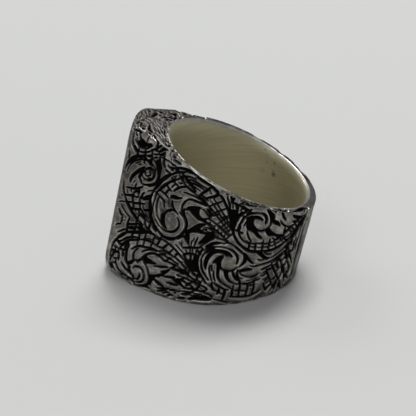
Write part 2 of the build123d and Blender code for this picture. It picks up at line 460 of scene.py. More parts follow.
SEEN_RIMS = """
t .7 184 110.6, 190 111, 196 112.4, 200 113.6, 205 115, 204.6 117.6, 202 116.8, 196 116.1, 190 114.7,
  186 114.2
b 184 113.3, 186 113.6
k 190 113.6, 194 114.6
k 198 115.4, 203.6 116.6
b 202.6 116.8, 204.4 117.8
c 179.6 110.8, 180 112.3
f 187 112, 189 112.6
f 194.4 113, 197 113.8
t .8 212 116.4, 218 119, 224 122, 232 124.4, 232.4 125.6, 226 124.2, 218 120.8, 212 118.2
t .5 232 124.6, 240 127, 246 130, 246 131.4, 240 128.4, 232 125.8
t .85 246 129.8, 252 132.6, 258 135.6, 262 137.8, 261.6 139.6, 257 137.8, 251 134.8, 246 131.8
t .7 261 137.8, 268 141.4, 274 145.6, 278 148.2, 277 150.6, 273 147.4, 267 143.2, 261 139.8
t .9 277 147.6, 281 150.4, 284 153, 283 154.6, 279.6 153.2, 276.6 150.6
t .75 284 152.6, 288 155.4, 293 159.6, 293 162.6, 288.6 158.8, 284 155
t .85 292.6 159.2, 297 162.6, 300 165.8, 302.4 169.4, 305 172.4, 303 173.8, 300.2 171.4, 297.4 167.4,
  293 163
k 300.4 168.4, 301.8 170.4, 303.6 172.2
b 279.6 151.4, 282.6 153.6
b 296.4 164.2, 299.2 167
c 255.4 136, 259.6 138.4
b 172 150.6, 175 150, 177.5 150.4, 179 151.8
b 176 154, 179 154.4, 181.5 155.5, 182.6 157.6
c 181.5 159.2, 183 159, 185.5 159.8
b 189.5 163, 191 164.6, 192.6 167, 195 168.5, 197 171, 199.5 172.2
c 201 175, 204 175.5, 206 176.8, 208 178.6, 210 180.6, 213 181.8
b 215 182, 217 183.6, 219.5 185.5, 222 187, 225 188.6, 228 189.5
b 219.4 185.8, 221 186.7, 223.4 188.6, 225.6 189.5, 228.2 190.7
f 229.2 190.7, 231.4 190.5
f 233 191.2, 234 191.4
c 240 196.2, 241.4 197.1, 243 197.2
b 244.6 196.8, 246.2 197.7, 247.6 198.8, 249.4 199.8, 251.2 200.8, 252.6 202.1, 253.8 203.2
b 253.8 203.2, 256 203.1, 259 203.4
c 244 202.3, 246.4 203.2, 248 205, 249.6 206.5
f 240.8 201.4, 243.2 201.5
f 251.2 204.2, 252 204.5
c 226 194.7, 228.6 194.7
b 266 204.1, 269 204.5, 271 205.7, 273.5 206.4, 276 207.6, 278 208.4, 280 209.2
o 280 209.8, 281.6 207.8, 284 207.7, 285.6 208.6, 285 210.2, 282 210.4
b 285.4 209.4, 287 210.5
b 288.4 207.7, 291 207.8, 294 207.9, 298 207.7
k 298 207.9, 301 208, 303.6 207.2, 305.6 207.2, 307.6 207.7
k 293.4 210.7, 296 210.8, 298 209.9, 300.2 209.2
c 301 211.8, 302 209.8, 303.6 209
c 305.4 210.2, 305.6 211.8
c 276.4 210.8, 276.8 212.8
p .7 157 134, 160 139.6, 163.6 143.6, 168 146, 173 147.2, 173 148.8, 166 148, 161.6 145.6, 158.4 141,
  156.4 136
p .7 182 161, 188 166.6, 194 170.6, 200 173.6, 206 177.6, 212 182, 218 186.4, 222 189.6, 220 190.4,
  213 185.6, 206 181, 199 176.6, 192 172.4, 186 168.6, 176 168, 173 166.4, 180 165.6
"""

SEEN_STEM_BY_FACE = """
b 122.8 181, 122.6 185, 122.6 189, 123 192, 124 194.6, 124.8 197.6
k 124.8 197.6, 125.4 200.4, 126.6 203.4, 128 206, 129.4 208.8, 130.8 211.6, 132.4 214, 134.2 216.4,
  135.8 218.8, 137.6 221
b 137.6 221, 139.4 222.8, 141.6 225
c 120 204, 121.5 206.6, 122.8 209, 124 211, 125.6 213.4, 127.2 215.4, 128.6 216.6
b 128.8 216.6, 128.6 218.6, 127.8 220.4, 127 222.6, 126.4 225, 126.4 227.4, 126 229.6, 125.2 231.6,
  124.4 233.6
b 117.8 208.6, 118.8 211, 119.6 213, 120.4 214.8
f 117.4 201.6, 120 201.2, 122.6 201.6, 124.6 201.8
c 120.6 194.4, 121.2 195.2
c 121.9 214.4, 121.9 216.6, 120.8 218.4, 121.5 219.6, 120.3 221.6, 120 223.6
c 114.2 225.2, 115.6 224.2, 117.4 223.9, 119.6 224.1
f 123.2 220.2, 124.4 220.6
c 116.4 232.2, 118.6 231.4, 121 230.6, 123 229.6, 125.6 229.4
k 116.4 237.6, 118.4 236.6, 120.6 235.4, 122.4 234.2, 124.4 233.6
k 127.4 228, 130 228, 133 228.2
b 126.4 224.6, 129 224.4, 131.6 224.6, 133.6 224.2
k 124.8 232.6, 128 232.2, 132 232.4, 136 232.6, 140 232.6, 145 232.2, 148 232.8, 151 234.2, 154 235.4
t .6 129.6 216.8, 133.4 217, 136 220, 134.6 222, 129.4 221.4, 128.6 219
b 136 220, 135.4 223, 135 225, 134.4 227, 134.2 230
b 131 195.4, 131.6 198, 132 201, 132.4 204, 132.4 207, 131.8 208.8
f 133.8 210.4, 135.2 213, 137.2 215.6
b 137.6 210.4, 138.6 213.4, 140.4 216, 142.4 218.4, 143.8 220.6
b 140.4 209.6, 141.4 212.4, 143 215.4, 144.6 217.8
c 143.6 210.6, 144.8 213.6, 146 216.4, 147.6 219
k 138.2 188.6, 137.8 191.4, 137.6 193.6
c 137.9 194, 137.6 196, 136.6 197.4, 135 197.2, 133.4 196.2
b 133.4 192.4, 135 191.6, 136.6 191.8
b 133 192.6, 132.6 195, 132.4 197
f 126.2 189.4, 126.6 191.6, 126.9 192.8
f 130.4 189, 130.6 192
b 124.6 194.8, 127 195.4, 130 195.4, 132.4 195.4
c 126.4 201.8, 129 202.2, 131.6 202.6
b 132.4 203, 135 203.5, 138 203.7, 140.6 203.9
c 140.6 203.9, 144 204.4
b 129.6 208.4, 132 208.8, 135 209.4, 138 209.6, 140.6 209.6
b 143.6 192.8, 142 194.4, 140.8 196.6, 139.6 198.6
b 139.4 197.4, 139 200, 138.8 203, 138.9 206, 139.6 208.6, 140.4 210.4
k 141.6 199.4, 144 198.9, 146.4 198.6
b 143.4 197.8, 146 196.8, 149 196.2, 151.6 194.8
t .75 142 198.6, 145 196.6, 149 195.6, 151.6 194.6, 151 200, 147 200.6, 143.6 200.2
t .75 146.6 201, 150 200.4, 149.8 210, 150 216, 152 222, 154 227, 155.4 232, 152 229, 149 224, 147.4 218,
  146 213, 146.4 209, 146.6 205
k 149.9 200, 149.6 204, 149.6 208, 149.6 212, 149.8 216, 151 220, 152.6 223.6, 154 227, 155.6 230
f 141.8 204.6, 142.2 207, 143 209.6
b 142.6 210.4, 145 210.4, 147.6 210.4
b 144.2 220.6, 144 223.4, 144.6 226, 146 228.8
c 144.6 218.6, 146 220.6, 147.4 222.4
b 149 221.4, 149.2 224.4, 148 227, 147 229
b 148.6 227.8, 148.2 230, 149.6 232, 151.4 233.8, 153.4 234.6
b 151.6 227, 153 229, 154.8 231.4
b 136.4 223.4, 138.6 225.6, 141 227.6, 143.4 229.2
b 136 227.4, 138.4 229, 141 230.4
t .6 134.6 228.6, 137 226, 141 226.6, 144.6 228.4, 147.4 230.6, 147 232.4, 140 232.4, 135.6 231.6
c 137.6 221.6, 139 223.2, 140.4 224.4
"""

SEEN_BIG_SCROLL_TOP = """
b 151.8 191.6, 153.2 189.4, 154.8 187.6, 156.6 185.6, 158.4 183.6
b 157.8 184, 159.4 182.4, 161.6 180.8, 164 178.6, 166 177.2, 168.2 175.9, 170.6 175
b 170.6 175, 174 173.3, 178 172.5, 182 172.6, 184 172.6
b 183.4 172.2, 186 172, 189 172.8, 192 173.6, 195 175, 197.6 176.8, 200 178.2, 202.4 179.6, 205 181.2,
  208 183.2
b 185.6 170.4, 188 171.2, 190.6 172.6, 193.4 173.8
b 175.6 168.8, 178.4 168.4, 181.6 169, 184.6 169.8, 187 170.6
b 174.2 169.6, 176 170.6, 177.8 171.4
c 169.8 170.4, 172.4 170.5
b 164.8 169.8, 166.6 171.6, 168.4 173, 169.8 173.8
b 157 191.6, 159.6 190, 161.6 187.6, 164 185.8, 166 184.8, 168 182.7, 170.6 181.9, 172.6 181.6, 175 180.2
b 161.4 187.4, 163 187
b 164.8 185.2, 166 185.8, 167.4 187.6, 168.8 189.6, 170.4 191.2
b 168 190, 166.4 191.6, 165.2 193
b 159.6 190.6, 162.2 192.6, 164 194.2, 165.6 196, 167.4 198
c 174.4 184.6, 172.6 185.8, 170.6 187.6
b 170.6 177.8, 171.8 179.6, 173 181.6, 174.2 183.4, 176 185.2
b 176.4 184.6, 177 186.6, 178 188
b 172.6 191.4, 174.6 190, 177 188.6, 179.6 187.6, 182.4 187.2, 185 187.4
f 172 177, 174.4 176.6, 176.4 176
f 173.6 178.6, 175.4 180.2
c 175.2 180.2, 177 179.6, 179 178.6
b 178.2 173.6, 179 176.4, 180.6 178.8, 181.2 181
b 181.4 176.4, 182 179.4, 183 182.4, 184.6 185.4, 186.6 187.4, 188.6 189.2, 190.4 190.8, 192.6 192.6,
  195.4 194.8, 198 197.4
c 177.6 182.2, 179 183.6, 181.4 183.6
b 185.4 179.6, 186 181.8
f 183.6 176.6, 184.4 179.6
c 184.4 176.6, 187 176.8, 190 177.4, 193 178.6, 195.6 180.2
c 195 177.6, 197.6 178.8, 200 180.4, 202.4 182, 205 183.6, 208 185.4
c 187.6 180, 190.4 180.2, 193 181.4, 195.6 182.6, 198.4 184.2, 201.4 186.2, 204.4 188, 207 189.4
c 186.6 183, 189.6 183, 192.6 184, 195.6 185.2, 198.6 186.8, 201.4 188.8, 204 190.6
f 188 186, 191 186.4, 194.4 187.6, 197 189.4, 199.6 191.4
t .4 183 175, 190 175.6, 197 179, 204 183, 208 186, 208 191, 204 190.6, 196 189, 189 186.6, 185.6 183.6,
  183.4 179
b 207.6 189.8, 205.4 191.4, 203.4 192.6, 201.6 193.8, 200 195.2, 198 197
b 200 195.2, 202 196.6, 204.6 198.6, 207.4 201
b 197.8 197.6, 199.6 199.4, 201.6 201.2, 203.4 203, 206 204.6
o 169.8 195.8, 172.6 195.8, 175.6 196.2, 177.6 197.6, 181.4 198.2, 180 199, 176 199.4, 173 199, 170 197.8
t .85 167.8 197.6, 170.4 198, 170.6 203, 171.6 207.6, 169.6 208.6, 167.6 206.6, 167.2 201
c 162 198.4, 163 203, 163.4 207.4
c 158 195.8, 160 197.8, 161.8 199.8, 162.8 201.4
b 154.4 192.2, 156 193.8, 157.4 194.8
c 155.8 196, 154.4 198.6, 153.2 201.4, 152.4 204.4, 152 207.6, 152 211
b 158.4 196.6, 157.2 199.4, 156.2 202.4, 155.8 205.6, 155.6 209, 155.8 212
t .6 160 209, 163.4 208.4, 166.6 208.6, 166 212, 161 213, 160 211
b 168.4 212, 170 210.6, 172.6 210.2, 175 211.6
b 171.4 200.6, 171.6 203.6, 172 206.6, 173.4 209.4, 175 211.8
b 186.4 200.4, 184.4 202, 182.6 204.2, 181.4 206.6, 180.8 209.4, 180.6 212
b 185.6 200.8, 188 199.9, 190.6 200, 193.4 200.8, 196 201.8, 198.6 203, 201 204, 203.4 205.2, 206 206.4
c 182.6 192.4, 185.4 193.2, 188.4 194.4, 191.4 195.6, 194.4 197, 197.4 198.8, 200.6 200.8, 203.4 203
"""

SEEN_BIG_SCROLL_EYE = """
t 1.1 160.4 214, 164.6 211.6, 168.4 210.8, 166 213.6, 164 216.6, 163.4 220, 163.2 224, 164.4 227.4,
  166 229.2, 163.4 228.4, 161.4 226, 159.8 223, 159.6 219
b 164.6 213.2, 163.4 216, 163 219, 162.9 222, 163.4 225, 164.6 227.6, 165.8 229
b 164.6 213, 167 211, 170 210.2, 173 210.8, 175.4 212.4, 177 214.4
b 176.4 218, 177.6 220.4, 178.2 223, 178 226, 177 228.4, 175.2 230.4, 173 231.6, 170.4 232.2, 167.4 232,
  164.6 231.2, 162 229.8, 160.4 228
b 178.6 212.4, 180.4 214.6, 182.4 217, 184 219.6, 184.9 222.6, 185 225.6, 184.6 228.4, 183.4 231,
  181.6 233.4, 179.4 235.4, 177 237, 174.2 238.2
b 174.2 238.2, 171.2 238.9, 168 238.8, 165 238, 162.2 236.6, 159.8 234.6, 157.8 232, 156.4 229.4,
  155.2 226.4
o 184.6 216, 185.6 218.6, 186.6 221, 187 224, 186.6 227, 185.4 229.4, 184 231, 184.6 227.6, 185 224,
  184.6 220.4, 183.6 217.6
c 155.8 212, 156.2 215, 157.4 218, 158.8 221, 160.4 224, 162 226.6, 163.6 228.6
f 154.4 219, 156 222, 158 225.4, 160.2 228.4
c 181 206, 181 209, 181.4 212, 182 215, 183.4 217
b 183.6 208.8, 183 211.4, 183.4 214, 184 216.6
b 188.2 209.6, 190.4 212, 192.6 214.4, 194.8 216.6, 197 218.4, 199.6 219.8, 202 221.2, 204.6 221.6
b 184.6 232, 187.6 231, 190.6 229.6, 193.4 228, 196 226.4, 198.8 225.2, 201.4 224.8, 204.4 224.9
o 186 232.4, 190 230.6, 194 228.4, 198 226.2, 202 224.8, 205 225.3, 202 226.6, 199.6 228.6, 199 230.4,
  200.6 232, 205 233.4, 201 234, 196 232.8, 191 232.6, 188 233.4
o 184.4 210.2, 187 208, 190 207.2, 194 207, 198 207.6, 200.6 208.4, 198.6 210, 198 213, 198.4 216.6,
  197 217.6, 194.6 215.4, 192 212.8, 189.6 210.4, 187 210.4
c 198.6 210, 198.2 213, 198.6 216, 200.4 218.4, 203 219.8, 206 219.4, 208.6 218.6
c 201.6 209.6, 204 211, 206 213.4, 207.6 216, 209.4 218.4
c 203 221.4, 206 222.8, 209 224.6, 212 226.2, 214.6 227.6
c 205 219.6, 208 219.4, 210.6 221, 213.4 222.8
c 203 228.2, 206.4 228.4, 209.6 229.2, 212.6 230.6, 214.6 231.6
c 202.4 230.4, 206 230.4
b 206.6 234, 210 233.6, 213.6 233.4
o 206 236, 208.6 234.6, 212 234.6, 214.4 236, 212.8 238, 211 239.6, 208 240.8, 205 242, 202 243.4,
  203.6 240.4, 205 238
o 184.8 233, 188.2 233.6, 188.6 237, 188.4 241, 188.2 244, 187 245, 186 242, 184.8 239.6, 184 237
b 206.4 235.6, 204.6 238, 202.8 240.4, 200.8 242.6, 199 244.6
c 197.4 237.4, 196.4 240, 195.2 242.6, 194 245.4, 193.2 247.6
c 191.6 241, 190.6 243.6, 190.4 246
f 193.6 238.4, 193 241
b 181.6 248.4, 185 248.3, 189 248.2, 193 248.4, 197 248.5, 200 248
c 184.6 250, 186.4 252.6
c 187.8 245, 189 248, 189.2 251, 189.4 254
c 191.4 249, 191.8 252, 191.8 255
c 196.4 250, 195.4 253
b 197.6 251, 198.6 254.4
o 205 247.4, 207 245.8, 210 244.2, 214 243.4, 214.6 245, 211 246, 208 247.4, 206 248.4
c 200.8 246, 201.6 249, 200.4 252, 200.2 255
c 199 247.4, 201.6 245.6, 204.4 243.8, 207.4 242, 210.6 240.4, 213.6 239.4
c 203.6 251.6, 206 249.8, 209 248.4, 212 247.6, 214.6 247.2
c 205.6 254.4, 208 252.4, 211 250.6, 214 249.6
b 158.6 238.8, 162 240.4, 165 242.2, 168 244.4, 170.6 246.6, 173 249, 175.4 251.4, 177.6 253.6
c 174.4 244.6, 176.4 246.8, 178.4 249, 180.6 251.4, 182.6 253.6
c 178.2 242, 179.8 244.4, 181.2 246.8, 181.8 248.2
b 176 239.4, 178.6 238, 181.4 236.6, 183.6 237.4, 184.8 239.6, 186 242, 187.4 244.8
b 160 236.4, 163 238, 166 239.4, 169.6 239.9, 173.4 239.6
f 180.6 240.6, 181.4 244
c 154.2 238.4, 156.6 239.4, 158.4 240.8, 158 243, 156.4 245.2
b 166.8 244.6, 165 246, 163 247.6, 161 248.6
c 156 246.2, 158.6 247.2, 161.4 248.6, 163.6 250.2, 166 251.6, 168 252.6
c 172 247.6, 171.6 249.6, 170.4 251.2, 168.4 253, 167 255
c 158.6 250.6, 160.8 251.2, 163 252.6, 165 254
"""

SEEN_DARK_STRIP = """
b 202 193.6, 204.6 192.4, 206.8 191, 208.6 189.4, 210.6 188
c 212.6 188, 215 190, 216.8 192.4, 217 194.6, 215.4 196.4, 212.6 197.6, 209.6 198.6, 206 198.9, 203 197.4
c 209.4 190.4, 210 192.8, 211 194.4
b 216.6 190.6, 217.6 193, 218.2 195
o 229 208, 231.6 210.6, 234 210.4, 236.4 212, 238 214.4, 240.6 215.6, 239 217.6, 237.4 220, 236 223,
  234.8 226, 234 229, 232.4 232.6, 231.6 229, 231.4 225, 231 221, 230.4 217, 229.6 213
b 221 196, 222.4 198.4, 223.6 200.8, 224.6 203, 225.8 205.4, 227.4 208
c 227.8 196.4, 227.4 198.4, 228.2 201, 229 204, 229.4 207
b 231 198, 232 200.4, 231.8 202.4
o 230.3 197.2, 231.8 197.5, 232.6 199, 234.8 198.9, 234.1 201, 232.8 202.7, 231.5 203.5, 231.9 201,
  231.1 199.3
b 231.8 204, 234 204, 236 204.6, 237.5 205.6, 238.9 206.9
c 238.4 205.4, 240.5 205, 242.5 204, 244.2 203
b 239 207, 241.6 207.2, 243.5 208.6, 246 210.3, 249 211.2, 252.2 210.3
f 232.8 205, 233 208.6
c 235.6 204.6, 236.4 207, 236.6 209.6
c 229.6 203, 229.9 206, 230 208.6
b 238.4 207.6, 237.6 210, 237.4 212.4
c 240.4 211.4, 241.6 210, 243.8 209.2
c 241.4 209.9, 244 209.7, 246.4 210.6
o 240 214.2, 241.6 212.8, 244 213.2, 246.4 211.6, 249.6 211.4, 251.6 212.2, 248 212.8, 245.4 213.8,
  243.4 215.4, 241 217.4
b 243.6 217, 246 217.2, 247.6 216.2, 250 214.9, 252.6 214.3, 256 214.2
b 247 219.4, 249.4 218.6, 252 217.6, 255.6 217.4
b 239.6 217.4, 238 219.4, 237.4 221.4
b 244.4 217.8, 243.4 220, 242.2 222, 240.8 224
c 248 219.6, 247 222, 245.6 224.6, 244.4 226.4
b 236.6 222.6, 235.4 225, 234.2 227.6, 233.6 230
b 239.8 224.6, 239.6 227, 238.6 229.4, 237.8 231.4
c 234.4 230.2, 236.4 231.2, 238.4 232.2
c 240.6 225.6, 240.4 228.4, 239.4 231, 240 233
b 240.4 233.2, 242.4 234
c 239 233, 239.2 235.6
t 1.1 207.6 208, 210.6 209.6, 211.6 212, 213 214.4, 211.8 216.4, 211.4 219, 209.4 218.4, 208.4 215.6,
  207 212.6, 206 209.6
b 230.6 223.6, 231.4 226.4, 230.8 229
"""

SEEN_LOWER_LEFT_SCROLL = """
b 124.4 233.8, 122 235, 119.6 236.4, 117.4 237.8, 115.2 239.8, 113 242, 111.6 244.4, 110.8 247, 110 249.8,
  109.4 252.6, 108.8 255.4
b 110.4 255.4, 109.6 258, 108.8 260.4
b 105.8 267, 107.4 269.2
b 110.2 262, 111 265, 112.4 268, 114.2 270.8
b 108 262.6, 108.8 265.4, 110.4 268
b 115.4 240.2, 117 241.8, 118.4 243.6, 119.8 245.4
b 116.2 240.4, 118.4 241.6, 120.4 240.8
c 112.8 245.4, 115 246.8, 117 248, 118.6 249.4
b 110.6 249.4, 112.6 250.4, 114.2 251.6
c 114.2 247.6, 114.6 250
b 113 251, 112 253.4, 111.6 256
b 112.6 253.4, 114 252, 116 252, 117.6 253.4, 118.2 255.6
c 112 257.6, 114 258.4, 116 258.2
b 118 254.6, 117.6 257.4, 117.4 260
c 111.4 261.8, 113 262.8, 115 262.4
b 115 259, 115 263, 115.8 266, 117.2 269.4, 119.4 272, 122 274, 124.6 275.6, 127 277.6
c 116.4 272.4, 118.4 274.4, 121 276.6, 123.6 278.6, 126.4 279.8
c 119.8 274.4, 120.6 276
c 126.4 277.8, 127 280
b 127 277.4, 129 278.6, 131 280.2, 132.4 281.8
b 120.4 261.6, 121.2 264, 122.6 266.4, 124 268.4, 125.6 270, 127 272
k 128.6 244.6, 126.8 247.6, 125.6 250.6, 125 253.6, 124.8 256.6, 125 259.6, 125.8 262.4, 127.2 265
b 127.2 265, 127.8 268, 127.9 271, 129.2 274
o 137.4 248.6, 135 250.6, 133.6 253, 133.2 256, 133.4 259, 133 261.4, 131.2 263.2, 128.6 264.4, 127 262.8,
  129.4 261.4, 131.4 260.2, 131.4 257, 131.8 254, 133.2 251.4, 135 249.2
b 130.4 249.6, 132 248.6, 134.2 247.4, 136.6 246.6, 139.4 246.4, 142 247, 145 247.8, 148 248.2, 151 248.6,
  154 249.6
c 140.6 252.4, 143 251, 146 250.3, 149.4 250.2, 152.6 251, 155.4 252.4
b 140.4 258.6, 142 257.2, 144 255.6, 146.4 254.6, 149 253.8, 152 253.8, 155 254.6, 157.6 256.2, 160 258.4,
  162.4 261.2
o 141 260, 143 257.6, 145.2 256.6, 147 258.4, 149.6 260.4, 152.4 262.4, 155.8 264.4, 152 264.4, 149 264.2,
  147 263.6, 145 264, 143 262.6
t .9 152 253.8, 156 254.4, 159 256.6, 157 257.4, 154 255.6
b 152.4 266.4, 155 266.8, 158 267.1, 161 267.3, 164 267.4, 167 267.8
o 159.8 272.4, 162 271.6, 164.6 271.6, 167 270.6, 169 270, 166.4 272.4, 164 274, 162 275.6, 161.4 276.6,
  160 275.8
b 149 275.4, 152 276.4, 155 276.2, 157 276.8, 159.4 276
o 148.4 275.6, 151 276.2, 153.6 277, 153.4 279.4, 151.6 280.4, 150.4 282.6, 149.2 285, 148 285.4, 148.2 282,
  148.4 278.6
k 152.6 279.4, 154.6 281.2, 156.6 283, 159 284.8, 162 287
b 142.6 263, 144.4 265, 145.8 267.6, 146.8 270.4, 147.4 273.4, 147.8 276.6, 147.8 279.8, 147.4 282.6,
  146 284.6, 143.6 285.8, 140.6 286, 137.4 285.8, 134.6 285.2, 133 283.6, 132.6 281.6
b 131.8 268.6, 133 267.2, 134.6 266.6, 136.6 266.8, 138.6 267.6, 140.4 269.2, 141.8 271.4, 142.6 274,
  142.8 276.8, 142.4 279.4, 141 281.4, 139 282.4, 136.6 282.6, 134.4 282.2
b 133.8 266.6, 136.4 267
b 142.6 274, 142.8 276.8, 142.4 279.4
b 138.8 273.6, 138.8 275.6, 137.8 277.4, 136.8 279, 136 280
t 1.1 130.6 275.6, 133.6 277, 136 278.4, 136.6 280, 133.4 279.6, 132.4 281.6, 131.6 279
b 129.4 266.4, 128.6 269, 129.2 272, 130.6 274.4, 132.6 276.4
b 134 260.4, 135.8 261, 136.4 262.4
b 136.2 262, 138 260.6, 140 259.6
b 141 287, 143.4 286.6, 146 287.4, 148.4 288.8
b 120.4 241, 123 239.6, 126 238.2, 129 237.6, 132 237.4, 135 237.6, 137.4 238.2
b 138.6 239.8, 141 240, 143.6 240.2, 147 241.2, 150 242.4, 153 244, 155.6 245.8, 158.4 247.4
b 121 244.2, 123 242.8, 126 241.2, 129 240.4, 132 240.4, 135 240.3, 138 240.4
b 118 243.4, 119.6 244.6, 121.4 244
b 131.2 234, 131 237.2
c 136.8 238, 136.6 241, 136.2 244, 135.8 246.4
b 138.8 233.6, 138.4 236.6, 137.8 239.6
b 145.4 233.8, 144.4 237, 143.4 240, 142.8 243, 142.2 246.4
b 153.8 235.6, 153 238.4, 151.8 241.4, 150.6 244.4, 149.6 247.4
b 160.4 237.6, 158.8 240.6, 157 243.6, 155.6 246
c 145 238.6, 148 239.2, 150.6 240
b 120 247.6, 121 245.8, 123 244.2, 125.4 243, 128 242
b 118.6 249.6, 119.6 247.6, 120.6 246
b 123.6 249.6, 124 247, 125.4 244.8, 127.4 243.4
b 119.4 249.6, 121.4 249.6, 123.6 250.6
c 117 249.4, 118 252, 118.4 254.4
b 121.6 250.4, 121.8 253, 121.4 256
"""

# The dark place of amount .8, at the wall's foot, is painted shade where the ring stands on the floor.
SEEN_LEAVES_BY_FOOT = """
b 157 254.8, 160 255, 163.4 255.2, 165.4 257.2, 167.4 258.8
o 166.4 257.8, 168.4 257.8, 170.6 258.6, 170.6 260.2, 168.4 259.8, 166.6 259.6
b 160.8 257.2, 161.8 259.2, 163.2 260.9, 165 261.4, 166.6 260
b 165.2 253.2, 167.4 253.4, 169.4 254.8, 171.4 256.4, 173.4 257.6
b 176.6 252.6, 176 254.4, 174.4 255.6
b 171.6 247.4, 174 249.8, 176.4 252.4, 178.6 255.2, 181 258, 183.2 260.6
b 173.4 256.8, 175.4 258.8, 177.4 260.8, 179.4 262.4, 181.4 262.8
b 170.4 259.6, 172.4 261.4, 174.6 263.2, 177.4 264.6
b 165.6 261.6, 168 262.8, 170.4 264, 173 265.4, 175.6 266.2
b 168.6 268.4, 170.4 268.8, 172.4 267.6, 174.4 266.4
b 176 266, 177.6 268, 179.8 269.6, 182 270.8, 184.6 270.6
b 172.6 268.4, 175 269.6, 178 271.2, 181 272.2, 183.4 272.6
b 180.4 263.6, 182.2 265.6, 184 267.6, 185.8 269.2
b 183.6 262, 185.6 264.6, 187.4 267.2, 188.8 269.6, 190.6 272, 192.6 274
b 184.4 271, 186 273.2, 188 275
c 187 270.6, 188.6 272.8
b 183.4 272.8, 185.6 275, 187.4 276.8, 189.4 277.4
b 178.6 273.6, 181 274, 184 274.6
c 179 276.2, 181.6 277.4, 184.6 278
b 176 275.4, 178 276
b 176 279.4, 178.6 280.2, 181 279.8, 183 279
b 160.4 272, 163 271.8, 166 271.2, 168.6 270
c 170.6 269.6, 173.6 270.6, 176.6 271.6, 179.4 272.8
b 161.6 276.4, 164.6 277.2, 168 277.6, 171.4 277.8, 174 277.8
t 1.1 168.6 277.8, 172 277.6, 176 279, 179 280.6, 178.4 282.6, 180 285, 181.6 287.4, 179 286, 175.6 284,
  173.4 281.6, 171 279.6
b 178 281.6, 179.6 284, 181.4 286.2, 183 287.8
b 180 281.6, 182.6 281.8, 185 283.2, 186 285
b 183.6 279, 186 279.4, 188.4 280.8, 190.6 282.2
b 182 281.6, 184.4 283.2, 187 284.2, 189.6 284
b 188.6 276.4, 190.6 278.2, 192.8 280, 195 281.4
b 195.6 279, 196.8 280.4
b 193.4 273.6, 195 276, 196.6 278.2
b 197.6 273, 198.6 276, 199 278
b 190 283.6, 192 282.6, 194.6 283.2, 197 284.4
b 189 284.4, 190.6 286.6, 192 288.6, 193.6 290.2
b 198.2 285, 198.8 287, 196.8 288.8, 195 290.4
b 184.8 286.6, 187 285.4, 189.2 285.6
b 184 288.2, 187 289.2, 190 289.4, 192.4 290.2
b 196.6 279.4, 198 282, 200 284.2
b 200.6 277.4, 202.4 279.8, 204 282, 205.6 284.2
b 199.6 286, 202.4 287.2, 205 288.6, 206.6 290.2
b 196 290.2, 198.6 291.4, 201 292.4, 203.6 292.2, 205.6 290.8
b 191.6 291.2, 194 290.6, 196.6 291.2
c 192.6 293.6, 195.6 294.8, 198.6 295.2, 201 295
b 180.6 291.8, 184 292.2, 188 292.9, 191.6 293
b 182 288.4, 184.6 288.6
b 180.4 294.4, 183 294.8, 186 294.8, 188.6 294.6
c 188.6 295.4, 192 296.3, 196 296.6, 199 296.2
c 201.4 293, 204.4 294, 207.4 295.2, 210 295.6
b 200.6 296, 204 297.2, 208 298.4
k 187.6 299.8, 191 299, 195 298.9, 199 299.4, 203 299.9, 207 300.2, 210 300.4
b 198.4 297.6, 202 298.6, 206 299.2
b 210 296.2, 211.6 297.4
b 156 288.4, 159 288.8, 162 289.2, 165 289.2, 168 289
c 156 291.4, 159.6 291.2, 163 291, 166.4 291.6
b 168 290.6, 171 290.5, 174 291, 176 291.6
c 172.6 293.4, 175 293.6
c 177 292.2, 179 291.8
b 166.4 295.6, 169 295.2, 172 295.7
c 165 283, 168 283.2, 170.6 283.4
b 168.2 284.4, 171 284.6, 174 285.2, 176.6 285.6
c 161 293.4, 165 293, 168.6 292.8
t .8 158 294.6, 162 294.4, 166 295.6, 168.6 296.6, 166 298, 161 297.6
b 176.8 298.6, 180 298.5, 183.6 298.6
t 1.1 183.6 258, 186.4 259, 189.6 259.6, 193 260, 196.6 259, 197.2 264, 197.4 270, 197 273, 194.6 272.4,
  192.4 272.6, 190 270, 188 267, 186 264.4, 184 261.4
t 1.1 181.6 254.6, 185.4 254.4, 186 257, 187 259, 184.4 259, 182.6 257
b 189.4 255, 190 257.4, 189.8 259.6
b 193.8 255.4, 194 258, 193.4 260.4
b 183 254.4, 187 254.2, 191 254.6, 195 254.9
b 195.6 254.8, 196 258, 196.4 261
"""

